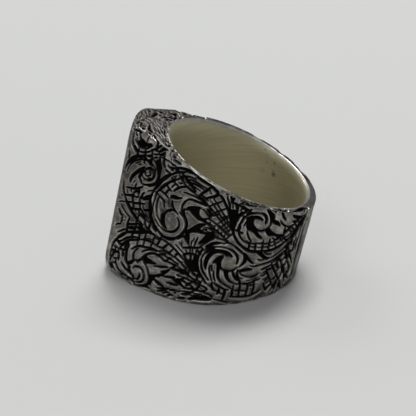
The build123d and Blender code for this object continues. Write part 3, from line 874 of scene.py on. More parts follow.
SEEN_LOWER_SCROLL = """
k 198.6 243.8, 201.4 242.2, 204 240.2, 206.4 238, 208.6 236.8
o 205.4 248.4, 207.6 245.6, 210.8 243.8, 214.6 242.8, 218.6 242.9, 221.4 244, 217.6 244.6, 213.6 245.4,
  209.6 247, 206.6 249
c 221.4 243.8, 225 244, 228.4 243.4, 231.6 244.8, 234.6 246.6
b 234.6 246.6, 237.4 249, 240.2 251.6, 243 254
c 223 240, 226 241.8, 228.6 243.6
o 243.2 253.4, 246 254.8, 248.4 257.6, 251 260.8, 254 264.6, 250.4 262.8, 247.8 260.6, 246.4 262.8,
  243.4 265.6, 239.4 267.8, 242 264.6, 243.8 261, 244.2 257
c 199.8 262, 201 259, 202.6 256, 205 253, 208.2 250.6, 212 248.6, 216 247.6, 220 247.6, 224 248.3, 228 249.2
b 228 249.2, 231.4 250.6, 234.4 252.8, 236.8 255.8, 237.9 259, 237.8 262, 236.6 264.6
b 201.2 260.6, 200.8 264, 200.9 267.4, 202 271, 203.8 274.6, 206 278, 208 280.6
b 203.4 249.6, 200.8 252, 198.8 255, 197.4 258.6, 196.8 262, 196.9 266, 197.6 269.6, 199.2 273.6,
  201.4 277.2, 204 280.4
o 205.2 270, 203.6 266, 204 261.6, 205.8 257.4, 208.8 253.8, 212.4 251.2, 216.6 250.2, 221 250.5, 225 251.4,
  228.6 253, 231 255.4, 232.2 258, 229.4 257, 226 256.6, 223.4 254.6, 219.4 253.4, 215 253.8, 211.4 256,
  208.4 259.6, 206.6 264
o 223 256, 220.4 256.8, 217.4 258.2, 214.8 260.6, 212.6 263.6, 214.6 263.4, 216.4 264.4, 217.2 266.8,
  218.6 269, 219.6 270.4, 220.6 267.8, 220.6 264.2, 221.4 260.8, 223.2 258
b 219.8 266, 220.8 268.8, 223 270.6, 226 271.2, 229 271.8, 232.4 271.4, 235.4 269.8, 237.4 268.2
o 217 267, 219.2 270.4, 218.6 274, 218.6 277.4, 219.8 280.6, 222 283.4, 220 282.8, 217.8 280, 216.6 276.6,
  216.6 272
c 221.6 283.2, 224.6 285.4, 228 287.6, 231.4 289.6
c 209.6 266, 208.9 269.6, 209.3 273.6, 210.2 277.6, 211.6 281.4
c 211.8 265.6, 211.2 268.4, 211.6 271.6
c 213.6 271.4, 213.3 275, 213.8 278.8, 215 282
o 223.6 271, 225.8 270.8, 228.4 272, 227.6 275, 228.2 278, 229.8 281, 232.6 283.6, 229 282.4, 226.4 279.6,
  224.8 276.4
c 231.6 283, 234.6 284.4, 238 284.8, 241 284.4
b 232.8 271.8, 233.4 275, 235 278.4, 237.4 281.2
b 237.8 270.6, 237.4 274.4, 238.2 278.4, 239.8 282, 240.4 285
t .6 233.4 272.6, 237.4 272, 237.4 277, 238.4 280.8, 235.6 278, 234 275.4
o 238.6 271.6, 242 270.4, 246 269.4, 250 269.3, 252.8 270.2, 249 271.2, 245.4 272, 242.2 272.8, 239.6 273
c 239.4 273, 242 275.6, 245.6 277, 249.4 277.8
b 249.4 277.8, 252.6 277.6, 255.6 276.6, 258.2 274.6
b 241 284.6, 245 284.6, 249 284.2, 252.4 283, 256 281.2, 260 279.4
f 247 281.6, 251 280.8, 255 279.4, 259 277.4
f 239.4 278.4, 243 279.4
c 250.4 266.4, 254 267, 258 266.4, 262 265.2, 266 263.6
b 213.6 283.4, 217 286.2, 220.4 288.4, 224.4 290.2, 228 290.8
b 224.6 290, 224.4 293.4, 223.4 297
b 232.2 290.6, 232.2 294, 231.4 297.4
c 233.6 285.4, 233.4 288, 233 290.4
b 240.4 285, 240 289, 239.2 293, 238.6 296.8
b 248 284.8, 247.8 288.6, 246.8 292.6, 245.6 296.6
b 254.6 282.6, 254.6 286.6, 253.6 290.6, 252.2 294.8
c 232.4 290.4, 236 291.3, 239.4 291, 243 291.6, 247 291.4
c 248.4 286.4, 251.4 286, 254.4 285.2
b 229.6 297.4, 234 297.6, 239 297.5, 244 297.4, 248.4 296.8, 252.4 295.4, 256.4 293.2, 260.4 290.6
c 212.4 290.8, 216 291.6, 219 293.4, 223.4 295.2
b 218.6 289.2, 218.8 292, 217 294.6
b 212 283, 211.2 286.4, 212.4 289.6, 214.4 291
c 207 285, 210 286.8, 212.6 288
"""

SEEN_RIGHT_SCROLL = """
c 247 214.4, 251 213.6, 255 213.9, 259 213.9, 262.6 214.4
o 262.4 213.4, 265.2 214.4, 267.6 216.8, 268.4 220, 267.8 223, 266.2 225, 265.8 222.4, 266.4 220,
  265.4 217.4, 263.6 215.2
o 249.6 218, 252.8 217, 256.6 216.7, 260 217.6, 262.6 219.6, 263.4 221.4, 260.4 220, 257 219.4, 254.6 220.4,
  253.8 223, 254.4 226.4, 256.4 229.2, 259.4 231.2, 258 233, 260 236.4, 262.8 239.2, 260 238.8, 256.8 236.4,
  254.2 233.4, 251 231.6, 248 230.4, 247 227, 247.6 222.6
b 257 230.4, 260.6 231.7, 264.4 231.2, 268 229.4, 270.8 226.4
k 270.8 226.4, 272.2 222.8, 272.4 219, 271.6 215.4, 270 212, 268.2 209.4
o 266.2 231, 269.6 228.8, 271.2 230.8, 273 233.6, 276 235.8, 272.4 236.6, 269.6 236.4, 267.4 234.2
b 271.4 231.8, 274 234.2, 277 236, 281 236.2, 284.6 235.2
o 273.2 213.6, 275.2 215.6, 275.8 218.4, 275.4 221, 278 222, 280.2 223.8, 281 226.6, 277.6 225.2,
  274.8 224.2, 273.6 221.4, 273.4 217.6
c 281.2 221, 282.8 223.8, 285.2 226, 288.4 227, 291.6 226.4
o 282.6 213.2, 284.4 214.2, 285.6 217, 287.2 221, 285 219.4, 283.4 216.6
o 277.4 207.4, 279.8 208.4, 282 209.6, 285.4 208.6, 287.4 208.4, 286 210.8, 282.4 211.2, 279.6 209.8
c 270 207.6, 272.4 209.4, 275 211, 277 213
o 294 215.6, 297 216, 300.6 216.6, 304.4 216, 302 217.8, 298 218.2, 295 217.8
c 294 210.6, 297.4 210, 301 208.8, 304.6 207.6
f 300.8 209.6, 301.6 212.4
f 305 207.6, 306 211
c 293 222, 296 221.6
c 247.4 231.6, 248.2 235.6, 249.6 239.4, 251.8 242.4
c 246 241, 249.6 243.6, 253.6 244.5, 258 244.3, 262 244.1, 266 244.4, 270 243.8
c 270 243.8, 274 242.2, 278 240, 282 238, 285.6 236.2
c 256 247.9, 260 248, 264.4 247.9, 269 247.4, 273 246, 277 243.8, 281 241.4, 285 238.8, 289 235.8,
  292.6 232.6, 296 228.8, 299.4 224.4, 302.6 219.6, 305.4 214.8
b 244.4 248, 248.4 250.6, 252.4 251.8, 257 252.2, 262 252, 267 251.6, 271.4 250.4, 275.4 248.6
b 275.4 248.6, 279.4 246.6, 283.4 244, 287.4 240.8, 291.4 237.2, 295.4 233, 299 228.4, 302.6 223,
  305.8 217.4, 308.4 212
b 250.4 243, 249.8 246, 249 249
b 256.6 243.8, 256 247.4, 255.4 251.4
b 264 240.4, 263.4 244, 263 248, 262.4 251.6
b 270.8 239.2, 270.2 243, 269.6 247, 268.8 250.6
c 250.6 247.2, 253.4 247.6, 256 248
c 272.6 238.4, 274.6 239.6, 275.4 243, 276.4 246.6
c 277 237.4, 280.6 238.8, 283.2 241.8
c 283.2 236.6, 286 239.6, 288 242
c 276.4 239.6, 279 238.4, 282 237.2
b 286 227.6, 285.4 231, 284.8 234.6, 283 237.6
c 288.6 231.2, 285.8 233.6, 283.6 235.8
c 293 225.4, 290.2 228.6, 287 231.2
c 288.6 227, 290.6 230, 292.6 233
c 291.6 226.4, 294 229.4, 296.2 232.4
c 294.6 222.4, 297.2 226, 299.6 229
c 297.4 218.6, 300 222.6, 302.4 226
c 303.6 216.6, 299.6 219.6, 296.8 222.6, 293.8 226, 290.8 229.4, 287.4 232.8, 284 236
t .6 295 217.6, 303.4 217, 300.6 221, 297 224.6, 294.4 222.6
o 257 252.8, 260 252.4, 262.6 253.2, 264.8 256, 267 257.8, 270 258.2, 268.6 259.8, 265.2 260, 262.2 257.6,
  259.4 255.4
t .55 265 252.8, 270 251.4, 275 249.4, 280 246.8, 283 245.4, 280 249.4, 275.6 252.2, 270.6 254, 267 254.6
c 265 253.4, 268 255, 272 254.4
c 258 260.4, 261.4 260.9, 264.6 260.2
"""

SEEN_BACK_NET = """
c 271 258.4, 274 256.9, 277 254.9, 280 252.7, 283 250.2, 286 246.8, 289 243.4, 292 239.6, 295 235.4
b 262 265.6, 266 264.1, 269.4 262.8, 272.6 261.2, 275.6 259.3, 278.4 257.3, 281 255.2, 283.4 253.2,
  285.4 251.2
c 273 263.4, 276 261.5, 278.6 259.6, 281.6 257, 284.4 254.4
c 274.2 266.2, 276.6 264, 278.6 261.8, 280.6 260
c 282.2 261.8, 284 259.6, 285.8 257.2
b 262 270.2, 266 268.6, 269 267, 272 265.2
b 264 273.6, 267 271.6, 269.8 270, 272.4 268.4
c 262 276.6, 264.6 275.6, 267 274
c 264 280.6, 266 279, 268.4 277.2
c 264.4 282.7, 266.6 281, 269 279.2
c 265 284.8, 267.4 283, 270 281.4
c 276.8 272.6, 278.6 270, 280.4 268
b 272.4 262.6, 272.8 266, 274.4 269.6, 276 272.8, 277.4 275.6, 278.8 278.4, 280.4 281.8
b 280.2 281, 280.4 284.6, 280.6 288.6
b 279.4 256, 280.8 259.6, 282 263, 282.6 267, 283.2 271, 281.4 275, 280.4 278.6
b 278.6 263, 277.8 265.6, 279 268
b 284.4 264.6, 284.6 269, 285 273.4, 284.8 277.6, 284.6 281.6
c 286.6 260.6, 286.2 264, 284.8 267.4
b 288 260.6, 289 264, 289.6 267.6, 289.2 271.4, 287.4 274.6, 286 277.6
b 289.8 265, 290 268.4, 289.4 271.6
c 287.2 271, 287.4 275, 288.2 279
c 310.6 212, 309 216.5, 307.4 220.5, 306 224.5, 304.8 229, 303.6 233, 302.6 237, 301.5 241, 300.4 245,
  299.3 249, 298.2 253, 297.2 257, 296.1 261, 294.9 265.4, 293.7 269.6, 292.5 273.8, 291.3 277.8, 290 281.4
c 307.4 217, 305.4 221, 303.4 225, 301.8 229, 300.8 233, 299.8 236.5, 298.8 240, 297.8 243.5, 297 247,
  296.2 250
b 303.4 219.5, 301.6 223, 299.8 227, 297.6 231, 295.8 234.6, 294.6 238
f 305.6 217.4, 303.4 221.4, 301.4 225.4, 299.6 229.4, 297.8 233.4, 296.8 237
b 296 242.4, 295.2 245.6, 294.2 248.8, 292.4 251.4
b 296.8 238.2, 296 242, 294.6 246
b 293.2 238.4, 293.4 241.4, 292.8 244.6
o 285.4 250.6, 287 251.4, 288 254, 289.4 256, 289 259.4, 286.4 259, 285.8 255.6
c 289 246.6, 289.8 250, 290.2 253.6, 290.8 257, 292 260, 292.6 263.4
b 292 251.2, 290.6 254, 291.4 257, 292.4 259.6
c 286.4 245.6, 287.4 248.6, 288 251.6
c 285 249, 286.6 248, 289 249
c 287.6 253.4, 289.6 252.6, 290.6 251
c 288 247, 290.4 244.6, 292.4 242, 293.6 240
b 267.2 270, 268 273, 269 276, 270.4 279, 271.4 282, 271.9 285.6
c 276.6 275.4, 275 278, 272.6 280
f 277.6 279.6, 276 282, 275.6 285
b 263.8 284, 264.8 287.6, 266 290.6
b 266.4 290.8, 268 288, 270 285.7, 272 284
c 270.6 291, 272.4 288, 274 284.6
b 274.4 290, 275.2 286.4, 276.4 282.6
c 278.8 283.6, 278.6 287.4
b 277.6 290.8, 280.4 289.4, 283 288.6
t .62 274 266.6, 278.4 263.6, 280 266, 277.4 269.6, 275.4 270
t .58 270.6 269.6, 273.4 269, 274 272, 271.4 275, 269.4 273
t .62 272.6 281, 276.6 277.6, 279.6 281.6, 279.6 286, 276 284.6, 273 284.6
t .58 285.6 244, 290 240, 291 247, 289.6 252, 286.6 250.6
"""

SEEN_MIDDLE_NET = """
b 217.6 195, 220.2 196.6, 222.8 200.3, 225.3 204.8, 227.6 209.7, 229.2 214.8, 230.4 219.9, 231.2 224.2,
  232.6 228.5
c 211.7 196.8, 214.2 200.3, 216.9 204.3, 219.8 209.2, 222.6 213.8, 225.3 218, 227.7 222.3, 230.3 226.8,
  232.2 230.2
c 209.5 200.3, 212.7 204.8, 215.7 209, 218.5 213.5, 221.6 218.2, 225 222.7, 228.4 226.8, 231.3 230.6
c 203.4 200, 205.8 203.4, 208.4 206.8, 211 209.4, 213.6 212.6, 216.6 216.6, 219.8 220.8, 222.9 224.9,
  226 228.6, 229.4 232.6
b 197.5 196.4, 201.4 199.4, 205.2 203, 208.3 207
c 197.1 219.9, 201.4 221.4, 205.7 224, 209.9 227.2, 214.2 230.4, 217.6 233.4, 221.1 236.2, 224.5 238.8,
  226.8 239.6
c 208.6 219, 212.6 222, 216.2 225.4, 219.8 228.7, 223.2 231.9, 226.6 235, 229.4 236.8
f 216.8 223.8, 220.2 226.8, 223.6 229.8, 227 233.2, 230.5 235.4
f 202.4 194.4, 200 195.6, 197.5 196.4
c 204.8 199, 209.1 197.7, 214.2 196.4, 216.8 194.5
c 208 207.4, 211 206, 214.4 204.6, 218.4 203.4, 222.6 201.6
c 212.4 214.6, 216 212.8, 219 211.8, 222.4 210.6, 226.6 209
c 211.7 216.5, 215.4 215.8, 218.6 214.8
c 220.2 219.1, 223 218.2, 226 217.4, 229.4 216.6
c 217.6 224.2, 220.4 222.6, 223 220.6, 225.8 219.4, 229.6 218.6
c 219.4 228.5, 222 227, 225 224.8, 228 223.3, 231 222.4
f 221.9 231.1, 224.6 229.8, 227.4 227.8, 229.6 226.4, 231.6 225.2
f 224.5 234.5, 227 232.5, 229.8 230.6, 232.2 228.9
c 226.6 239.2, 229.2 237, 231.6 235.4, 233.4 232.8
f 205.8 219.8, 204.4 222.6
f 210.4 222.4, 208.8 225.6
f 215.4 225.6, 213.8 228.6
f 218.6 229.2, 217 232
f 222 232.4, 220.4 235.2
f 225 235.4, 223.6 237.8
f 205.7 227.6, 209.9 230.2, 214.2 232.8, 218.5 235.3
f 202.2 229.4, 207.4 232.2, 213.4 234.8, 218.5 237
b 199.4 230, 202 232.4, 205.7 234.7, 209.9 236.8, 214.4 238.2
c 214.4 238.2, 219 239.3, 224 240.4, 228 241.6
"""

# Darker and brighter places on the near wall, in pixels. The dark places round the big scroll's eye and the
# faint one over the middle of the wall are painted shade; the faint bright places over the lower wall are a
# painted reflection of the pale floor; the bright places at the top corner and along the rim are painted
# highlights; the other dark places deepen the scrolls' ground.
SEEN_DARK_GROUND_AND_PAINTED_LIGHT = """
p .45 139.6 134.4, 143.4 132.6, 147 135, 149.4 138.6, 146.4 140, 142 138
p .4 148 140, 150.4 137.4, 153.6 138, 155 141, 153.4 144, 150 144
t .22 165 219, 168 216, 173 215.6, 177 219, 177 225, 174 229, 168 229, 164.6 225
t .38 185 213, 187 212, 193 217, 200 221.6, 194 225, 186 230, 184.6 222
t .2 189 234, 205 235, 200 243, 191 244
t .32 122 160, 135 150, 160 152, 166 165, 160 178, 145 186, 125 196, 115 212, 110 206
t .22 116 206, 120 196, 134 190, 146 192, 150 210, 146 232, 124 234, 116 222
t .1 146 165, 190 165, 205 190, 200 232, 160 240, 140 232, 146 200
p .12 118 240, 135 236, 160 245, 178 266, 190 290, 160 290, 125 282, 110 262
p .05 200 246, 240 246, 262 262, 250 282, 215 282, 200 262
p .08 254 214, 270 214, 296 214, 284 236, 262 240, 250 226
t .5 154 160, 160 162, 166 168, 164 176, 159 180, 158 172
t .35 180 173, 192 176, 200 184, 200 196, 194 193, 187 184
t 1 135.5 141.3, 139.5 146.6, 144.7 147.9, 152.6 145.3, 148.7 142.6, 143.4 143.9, 140.8 140
p .35 164 150, 168 149, 176 158, 183 168, 190 173, 182 172, 172 168, 165 160
"""

SEEN_CHART = (
    SEEN_HEAD_END
    + SEEN_TOP_CORNER_SCROLL
    + SEEN_BAND_BELOW_TOP_SCROLL
    + SEEN_SCROLL_BY_FACE
    + SEEN_STEM_BY_FACE
    + SEEN_BIG_SCROLL_TOP
    + SEEN_BIG_SCROLL_EYE
    + SEEN_DARK_STRIP
    + SEEN_LOWER_LEFT_SCROLL
    + SEEN_LEAVES_BY_FOOT
    + SEEN_LOWER_SCROLL
    + SEEN_RIGHT_SCROLL
    + SEEN_BACK_NET
    + SEEN_MIDDLE_NET
    + SEEN_DARK_GROUND_AND_PAINTED_LIGHT
    + SEEN_RIMS
)

# The dark ground of the upper side face, in millimetres: x towards the face, then y
SIDE_CHART = """
t .5 8.2 -8.4, 11 -6.5, 13.6 -3, 15 0, 14.6 2.6, 12.6 4.8, 9.4 6.6, 7.6 7.6, 8 6.4, 9.3 4, 9.9 0, 9.3 -4
"""

# How a cut is shaped: the share of its width at its two ends, how it swells, and how far its wall slopes
CUT_END_WIDTH = 0.45
CUT_SWELL = 0.6
CUT_WALL = 0.09

# The cut round a hollow, which softens its edge
HOLLOW_EDGE = 0.1

# The step along a charted line, and how many times the dark and bright places are softened
LINE_STEP = 0.12
SOFTENING_ROUNDS = 6

# How far apart the points of two neighbouring pixels lie on a wall that faces the camera, and how much wider
# than that a cut may be made where the wall turns away
FACING_STEP = 0.14
MOST_WIDENING = 4.0


def smooth_line(points):
    """A curve through the charted points, as a close row of points."""
    points = np.asarray(points, float)
    before = 2 * points[0] - points[1]
    after = 2 * points[-1] - points[-2]
    padded = np.vstack([before, points, after])
    row = []
    for a, b, c, d in zip(padded[:-3], padded[1:-2], padded[2:-1], padded[3:]):
        count = max(1, int(math.ceil(math.dist(b, c) / LINE_STEP)))
        t = (np.arange(count) / count)[:, None]
        square = (2 * a - 5 * b + 4 * c - d) * t ** 2
        cube = (3 * b - a - 3 * c + d) * t ** 3
        row.append(0.5 * (2 * b + (c - a) * t + square + cube))
    row.append(points[-1:])
    return np.vstack(row)


def run_along(points):
    """How far along a line each of its points is, from 0 to 1."""
    steps = np.hypot(*np.diff(np.asarray(points, float), axis=0).T)
    run = np.concatenate([[0.0], np.cumsum(steps)])
    return run / max(run[-1], 1e-9)


def seen_wider(points):
    """How much wider a cut is made at each of its points, where the wall turns away from the camera."""
    wider = []
    for i, (px, py) in enumerate(points):
        before = points[max(i - 1, 0)]
        after = points[min(i + 1, len(points) - 1)]
        length = math.dist(before, after)
        across = (0.5 * (before[1] - after[1]) / length, 0.5 * (after[0] - before[0]) / length)
        one_side = laid_on_wall(px + across[0], py + across[1])
        other_side = laid_on_wall(px - across[0], py - across[1])
        pixel = np.subtract(one_side, other_side)
        way = np.subtract(laid_on_wall(*after), laid_on_wall(*before))
        spread_out = abs(pixel[0] * way[1] - pixel[1] * way[0]) / max(1e-9, math.hypot(*way))
        wider.append(min(MOST_WIDENING, max(1.0, spread_out / FACING_STEP)))
    return wider


class Plate:
    """A flat sheet of the metal on which a chart is cut, before it is laid on the ring."""

    # How far from a cut the sheet still knows how near it is
    REACH = 0.6

    def __init__(self, low, high, pitch=0.04):
        self.low = np.asarray(low, float)
        self.pitch = pitch
        self.shape = tuple(int(round((h - l) / pitch)) + 1 for l, h in zip(low, high))
        self.groove = np.zeros(self.shape)
        self.near = np.full(self.shape, self.REACH)
        # Dark ground and painted shade, then rubbed metal and painted light
        self.tone = np.zeros(self.shape)
        self.rub_and_highlight = np.zeros(self.shape)

    def window(self, points, margin):
        """The part of the sheet round some points, or None where they lie off it."""
        first = np.floor((points.min(0) - margin - self.low) / self.pitch).astype(int)
        last = np.ceil((points.max(0) + margin - self.low) / self.pitch).astype(int) + 1
        first = np.clip(first, 0, self.shape)
        last = np.clip(last, 0, self.shape)
        if (last <= first).any():
            return None
        area = (slice(first[0], last[0]), slice(first[1], last[1]))
        u = self.low[0] + self.pitch * np.arange(first[0], last[0])
        v = self.low[1] + self.pitch * np.arange(first[1], last[1])
        return area, u[:, None], v[None, :]

    def cut(self, points, width, depth, taper=True, wider=None):
        """One graver cut through the points, thin at both ends, and wider where wider says so."""
        line = smooth_line(points)
        half = np.full(len(line), 0.5 * width)
        if taper:
            swell = np.sin(math.pi * np.linspace(0, 1, len(line))) ** CUT_SWELL
            half = half * (CUT_END_WIDTH + (1 - CUT_END_WIDTH) * swell)
        if wider is not None:
            half = half * np.interp(run_along(line), run_along(points), wider)
        for ends, half_width in zip(zip(line[:-1], line[1:]), half):
            self.cut_step(np.array(ends), half_width, depth)

    def cut_step(self, ends, half_width, depth):
        """The short straight stretch of a cut between two points."""
        found = self.window(ends, self.REACH)
        if found is None:
            return
        area, u, v = found
        way = ends[1] - ends[0]
        length = max(1e-9, float(way @ way))
        along = np.clip(((u - ends[0, 0]) * way[0] + (v - ends[0, 1]) * way[1]) / length, 0, 1)
        away = np.hypot(u - ends[0, 0] - along * way[0], v - ends[0, 1] - along * way[1])
        edge = away - half_width
        self.near[area] = np.minimum(self.near[area], np.maximum(edge, 0))
        self.groove[area] = np.maximum(self.groove[area], depth * np.clip(0.5 - edge / CUT_WALL, 0, 1))

    def inside(self, points):
        """Which points of the sheet lie inside a smooth closed outline."""
        outline = smooth_line(list(points) + [points[0]])
        found = self.window(outline, 0.0)
        if found is None:
            return (slice(0, 0), slice(0, 0)), np.zeros((0, 0), bool)
        area, u, v = found
        held = np.zeros((u.shape[0], v.shape[1]), bool)
        for (u0, v0), (u1, v1) in zip(outline[:-1], outline[1:]):
            if v0 == v1:
                continue
            crosses = (v0 > v) != (v1 > v)
            held ^= crosses & (u < u0 + (v - v0) * (u1 - u0) / (v1 - v0))
        return area, held

    def hollow(self, points):
        """A space between leaves, cut right down."""
        area, held = self.inside(points)
        self.groove[area] = np.where(held, HOLLOW_DEPTH, self.groove[area])
        self.near[area] = np.where(held, 0.0, self.near[area])
        self.cut(list(points) + [points[0]], HOLLOW_EDGE, HOLLOW_DEPTH, taper=False)

    def shade(self, field, points, amount):
        """A place made dark or bright: dark ground and painted shade, rubbed metal and painted light."""
        area, held = self.inside(points)
        field[area] = np.where(held, np.maximum(field[area], amount), field[area])

    def follow(self, chart, lay=None):
        """Cuts all that a chart holds, laid on the sheet from the picture's places where lay says how."""
        for line in filter(None, chart.replace(",\n", ",").splitlines()):
            kind, rest = line.split(" ", 1)
            amount = 0.0
            if kind in "tp":
                amount, rest = rest.split(" ", 1)
            points = [tuple(float(n) for n in pair.split()) for pair in rest.split(",")]
            wider = None
            if lay is laid_on_wall and kind in CUT_WIDTH:
                wider = seen_wider(points)
            if lay:
                points = [lay(*point) for point in points]
            if kind == "o":
                self.hollow(points)
            elif kind == "t":
                self.shade(self.tone, points, float(amount))
            elif kind == "p":
                self.shade(self.rub_and_highlight, points, float(amount))
            else:
                self.cut(points, CUT_WIDTH[kind], CUT_SHARE[kind], wider=wider)

    def soften(self, field):
        """Soft edges for the dark or the bright places."""
        for _ in range(SOFTENING_ROUNDS):
            blurred = field.copy()
            blurred[1:-1, 1:-1] += field[:-2, 1:-1] + field[2:, 1:-1] + field[1:-1, :-2] + field[1:-1, 2:]
            blurred[1:-1, 1:-1] /= 5
            field[:] = blurred

    def at(self, name, u, v):
        """One of the sheet's values at any places, smoothly between its own points."""
        field = getattr(self, name)
        gu = np.clip((u - self.low[0]) / self.pitch, 0, self.shape[0] - 1.001)
        gv = np.clip((v - self.low[1]) / self.pitch, 0, self.shape[1] - 1.001)
        iu = gu.astype(int)
        iv = gv.astype(int)
        fu = gu - iu
        fv = gv - iv
        return (
            field[iu, iv] * (1 - fu) * (1 - fv)
            + field[iu + 1, iv] * fu * (1 - fv)
            + field[iu, iv + 1] * (1 - fu) * fv
            + field[iu + 1, iv + 1] * fu * fv
        )


# The wall's sheet holds distances round and heights, and the side face's holds x and y, each from low to high
wall_plate = Plate((1.6, -11.6), (33.4, 11.6))
wall_plate.follow(WALL_CHART)
wall_plate.follow(SEEN_CHART, laid_on_wall)
side_plate = Plate((-11.2, -11.2), (15.4, 11.2))
side_plate.follow(SIDE_CHART)
side_plate.follow(SEEN_CHART, laid_on_side)
for plate in (wall_plate, side_plate):
    plate.soften(plate.tone)
    plate.soften(plate.rub_and_highlight)


# The ring's skin, swept round it as closed sections
FIELDS = ("groove", "near", "tone", "rub_and_highlight")
BLANK = {"groove": 0.0, "near": Plate.REACH, "tone": 0.0, "rub_and_highlight": 0.0}
RIM = BORE_RADIUS + BORE_BEVEL
STRIP_STEPS = 241

# What each strip of a section lies on
WALL, SIDE, BEVEL, BORE = 0.0, 1.0, 2.0, 3.0


def strip_inward(s, rows):
    """Places on the upper side face, evenly spaced from the outer wall's edge in to the bevel."""
    x, y, nx, ny = outline_point(s)
    reach = np.hypot(x, y)
    cx = x / reach
    cy = y / reach
    squarely = cx * nx + cy * ny
    rho = reach - (reach - RIM) * np.linspace(0, 1, STRIP_STEPS)[None, :] ** 2
    height = side_height(rho * cx, rho * cy, (reach - rho) * squarely)
    gone = np.cumsum(np.hypot(np.diff(rho, axis=1), np.diff(height, axis=1)), 1)
    gone = np.concatenate([0 * reach, gone], 1)
    share = np.linspace(0, 1, rows + 1)[1:]
    even = np.stack([np.interp(share * g[-1], g, r) for g, r in zip(gone, rho)])
    return even * cx, even * cy, side_height(even * cx, even * cy, (reach - even) * squarely)


def skin_normals(x, y, z):
    """Outward directions of a skin of closed sections."""
    points = np.stack([x, y, z], -1)
    round_loop = np.roll(points, -1, 1) - np.roll(points, 1, 1)
    along = np.gradient(points, axis=0)
    normal = np.cross(along, round_loop)
    return normal / np.maximum(np.linalg.norm(normal, axis=-1, keepdims=True), 1e-12)


def faces_eye(nx, ny, nz, x, y, z):
    """Whether the surface at each point faces the camera."""
    return nx * (EYE_X - x) + ny * (EYE_Y - y) + nz * (EYE_Z - z) > 0


def read_charts(s, x, y, z, normal, upper):
    """What the charts hold for a side face and its rounded ridge, where the eye sees each point."""
    wall_s, wall_z, wall_x = seen_on_wall(x, y, z)
    side_x, side_y = seen_on_side(x, y, z)
    nx, ny, nz = normal[..., 0], normal[..., 1], normal[..., 2]
    to_near_side = np.where(y < 0, -1.0, 1.0)
    facing = faces_eye(nx, ny, nz, x, y, z)
    facing_mirrored = faces_eye(nx, ny * to_near_side, nz, x, np.abs(y), z)
    rounded = outline_point(s)[0] > FACE_REACH - ROUNDING_LENGTH
    if upper:
        on_wall = rounded & (wall_z <= ridge_height(wall_x)) & ((y > 0) | ~facing)
    else:
        on_wall = rounded & (wall_z >= -ridge_height(wall_x)) & facing_mirrored
    direct = ~rounded | (not upper) | ((y < 0) & ~facing)
    side_x = np.where(direct, x, side_x)
    side_y = np.where(direct, y, side_y)
    found = {}
    for name in FIELDS:
        of_wall = wall_plate.at(name, wall_s, wall_z)
        of_side = side_plate.at(name, side_x, side_y)
        found[name] = np.where(on_wall, of_wall, of_side)
    return found


def ring_grid(stations, wall_rows, upper_rows, lower_rows, bore_rows):
    """The ring's whole surface between the first and last station, and what is cut into it."""
    s = stations[:, None]
    x, y, _, _ = outline_point(s)
    reach = np.hypot(x, y)
    cx = x / reach
    cy = y / reach
    top = side_height(x, y, 0 * x)
    wall_z = top * np.linspace(-1, 1, wall_rows)[None, :]
    ones = np.ones_like(wall_z)
    wall = (x * ones, y * ones, wall_z)
    upper = strip_inward(s, upper_rows)
    lower_x, lower_y, lower_z = strip_inward(s, lower_rows)
    lower = (lower_x[:, ::-1], lower_y[:, ::-1], -lower_z[:, ::-1])

    # Bevel and bore
    bore_top = ridge_height(BORE_RADIUS * cx)
    rim_top = ridge_height(RIM * cx)
    inward = np.array([[1 / 3, 2 / 3]])
    bevel_r = RIM - BORE_BEVEL * inward
    bevel_z = rim_top + (bore_top - BORE_BEVEL - rim_top) * inward
    bevel = (bevel_r * cx, bevel_r * cy, bevel_z)
    bevel_below = (bevel[0][:, ::-1], bevel[1][:, ::-1], -bevel_z[:, ::-1])
    bore_z = (bore_top - BORE_BEVEL) * np.linspace(1, -1, bore_rows)[None, :]
    bore_x = BORE_RADIUS * cx * np.ones_like(bore_z)
    bore_y = BORE_RADIUS * cy * np.ones_like(bore_z)
    bore = (bore_x, bore_y, bore_z)

    strips = [wall, upper, bevel, bore, bevel_below, lower]
    places = [WALL, SIDE, BEVEL, BORE, BEVEL, SIDE]
    gx, gy, gz = (np.concatenate([strip[i] for strip in strips], 1) for i in range(3))
    normal = skin_normals(gx, gy, gz)
    starts = np.cumsum([0] + [strip[0].shape[1] for strip in strips])
    cuts = []
    for k, (strip, place) in enumerate(zip(strips, places)):
        if place == WALL:
            cuts.append({name: wall_plate.at(name, np.abs(s) * ones, wall_z) for name in FIELDS})
        elif place == SIDE:
            cuts.append(read_charts(s, *strip, normal[:, starts[k]:starts[k + 1]], strip is upper))
        else:
            cuts.append({name: np.full(strip[0].shape, BLANK[name]) for name in FIELDS})
    grid = {name: np.concatenate([cut[name] for cut in cuts], 1) for name in FIELDS}
    marks = [np.full(strip[0].shape, place) for strip, place in zip(strips, places)]
    grid["place"] = np.concatenate(marks, 1)
    grid["s"] = np.broadcast_to(np.abs(s), gx.shape)
    return dict(grid, x=gx, y=gy, z=gz, normal=normal)


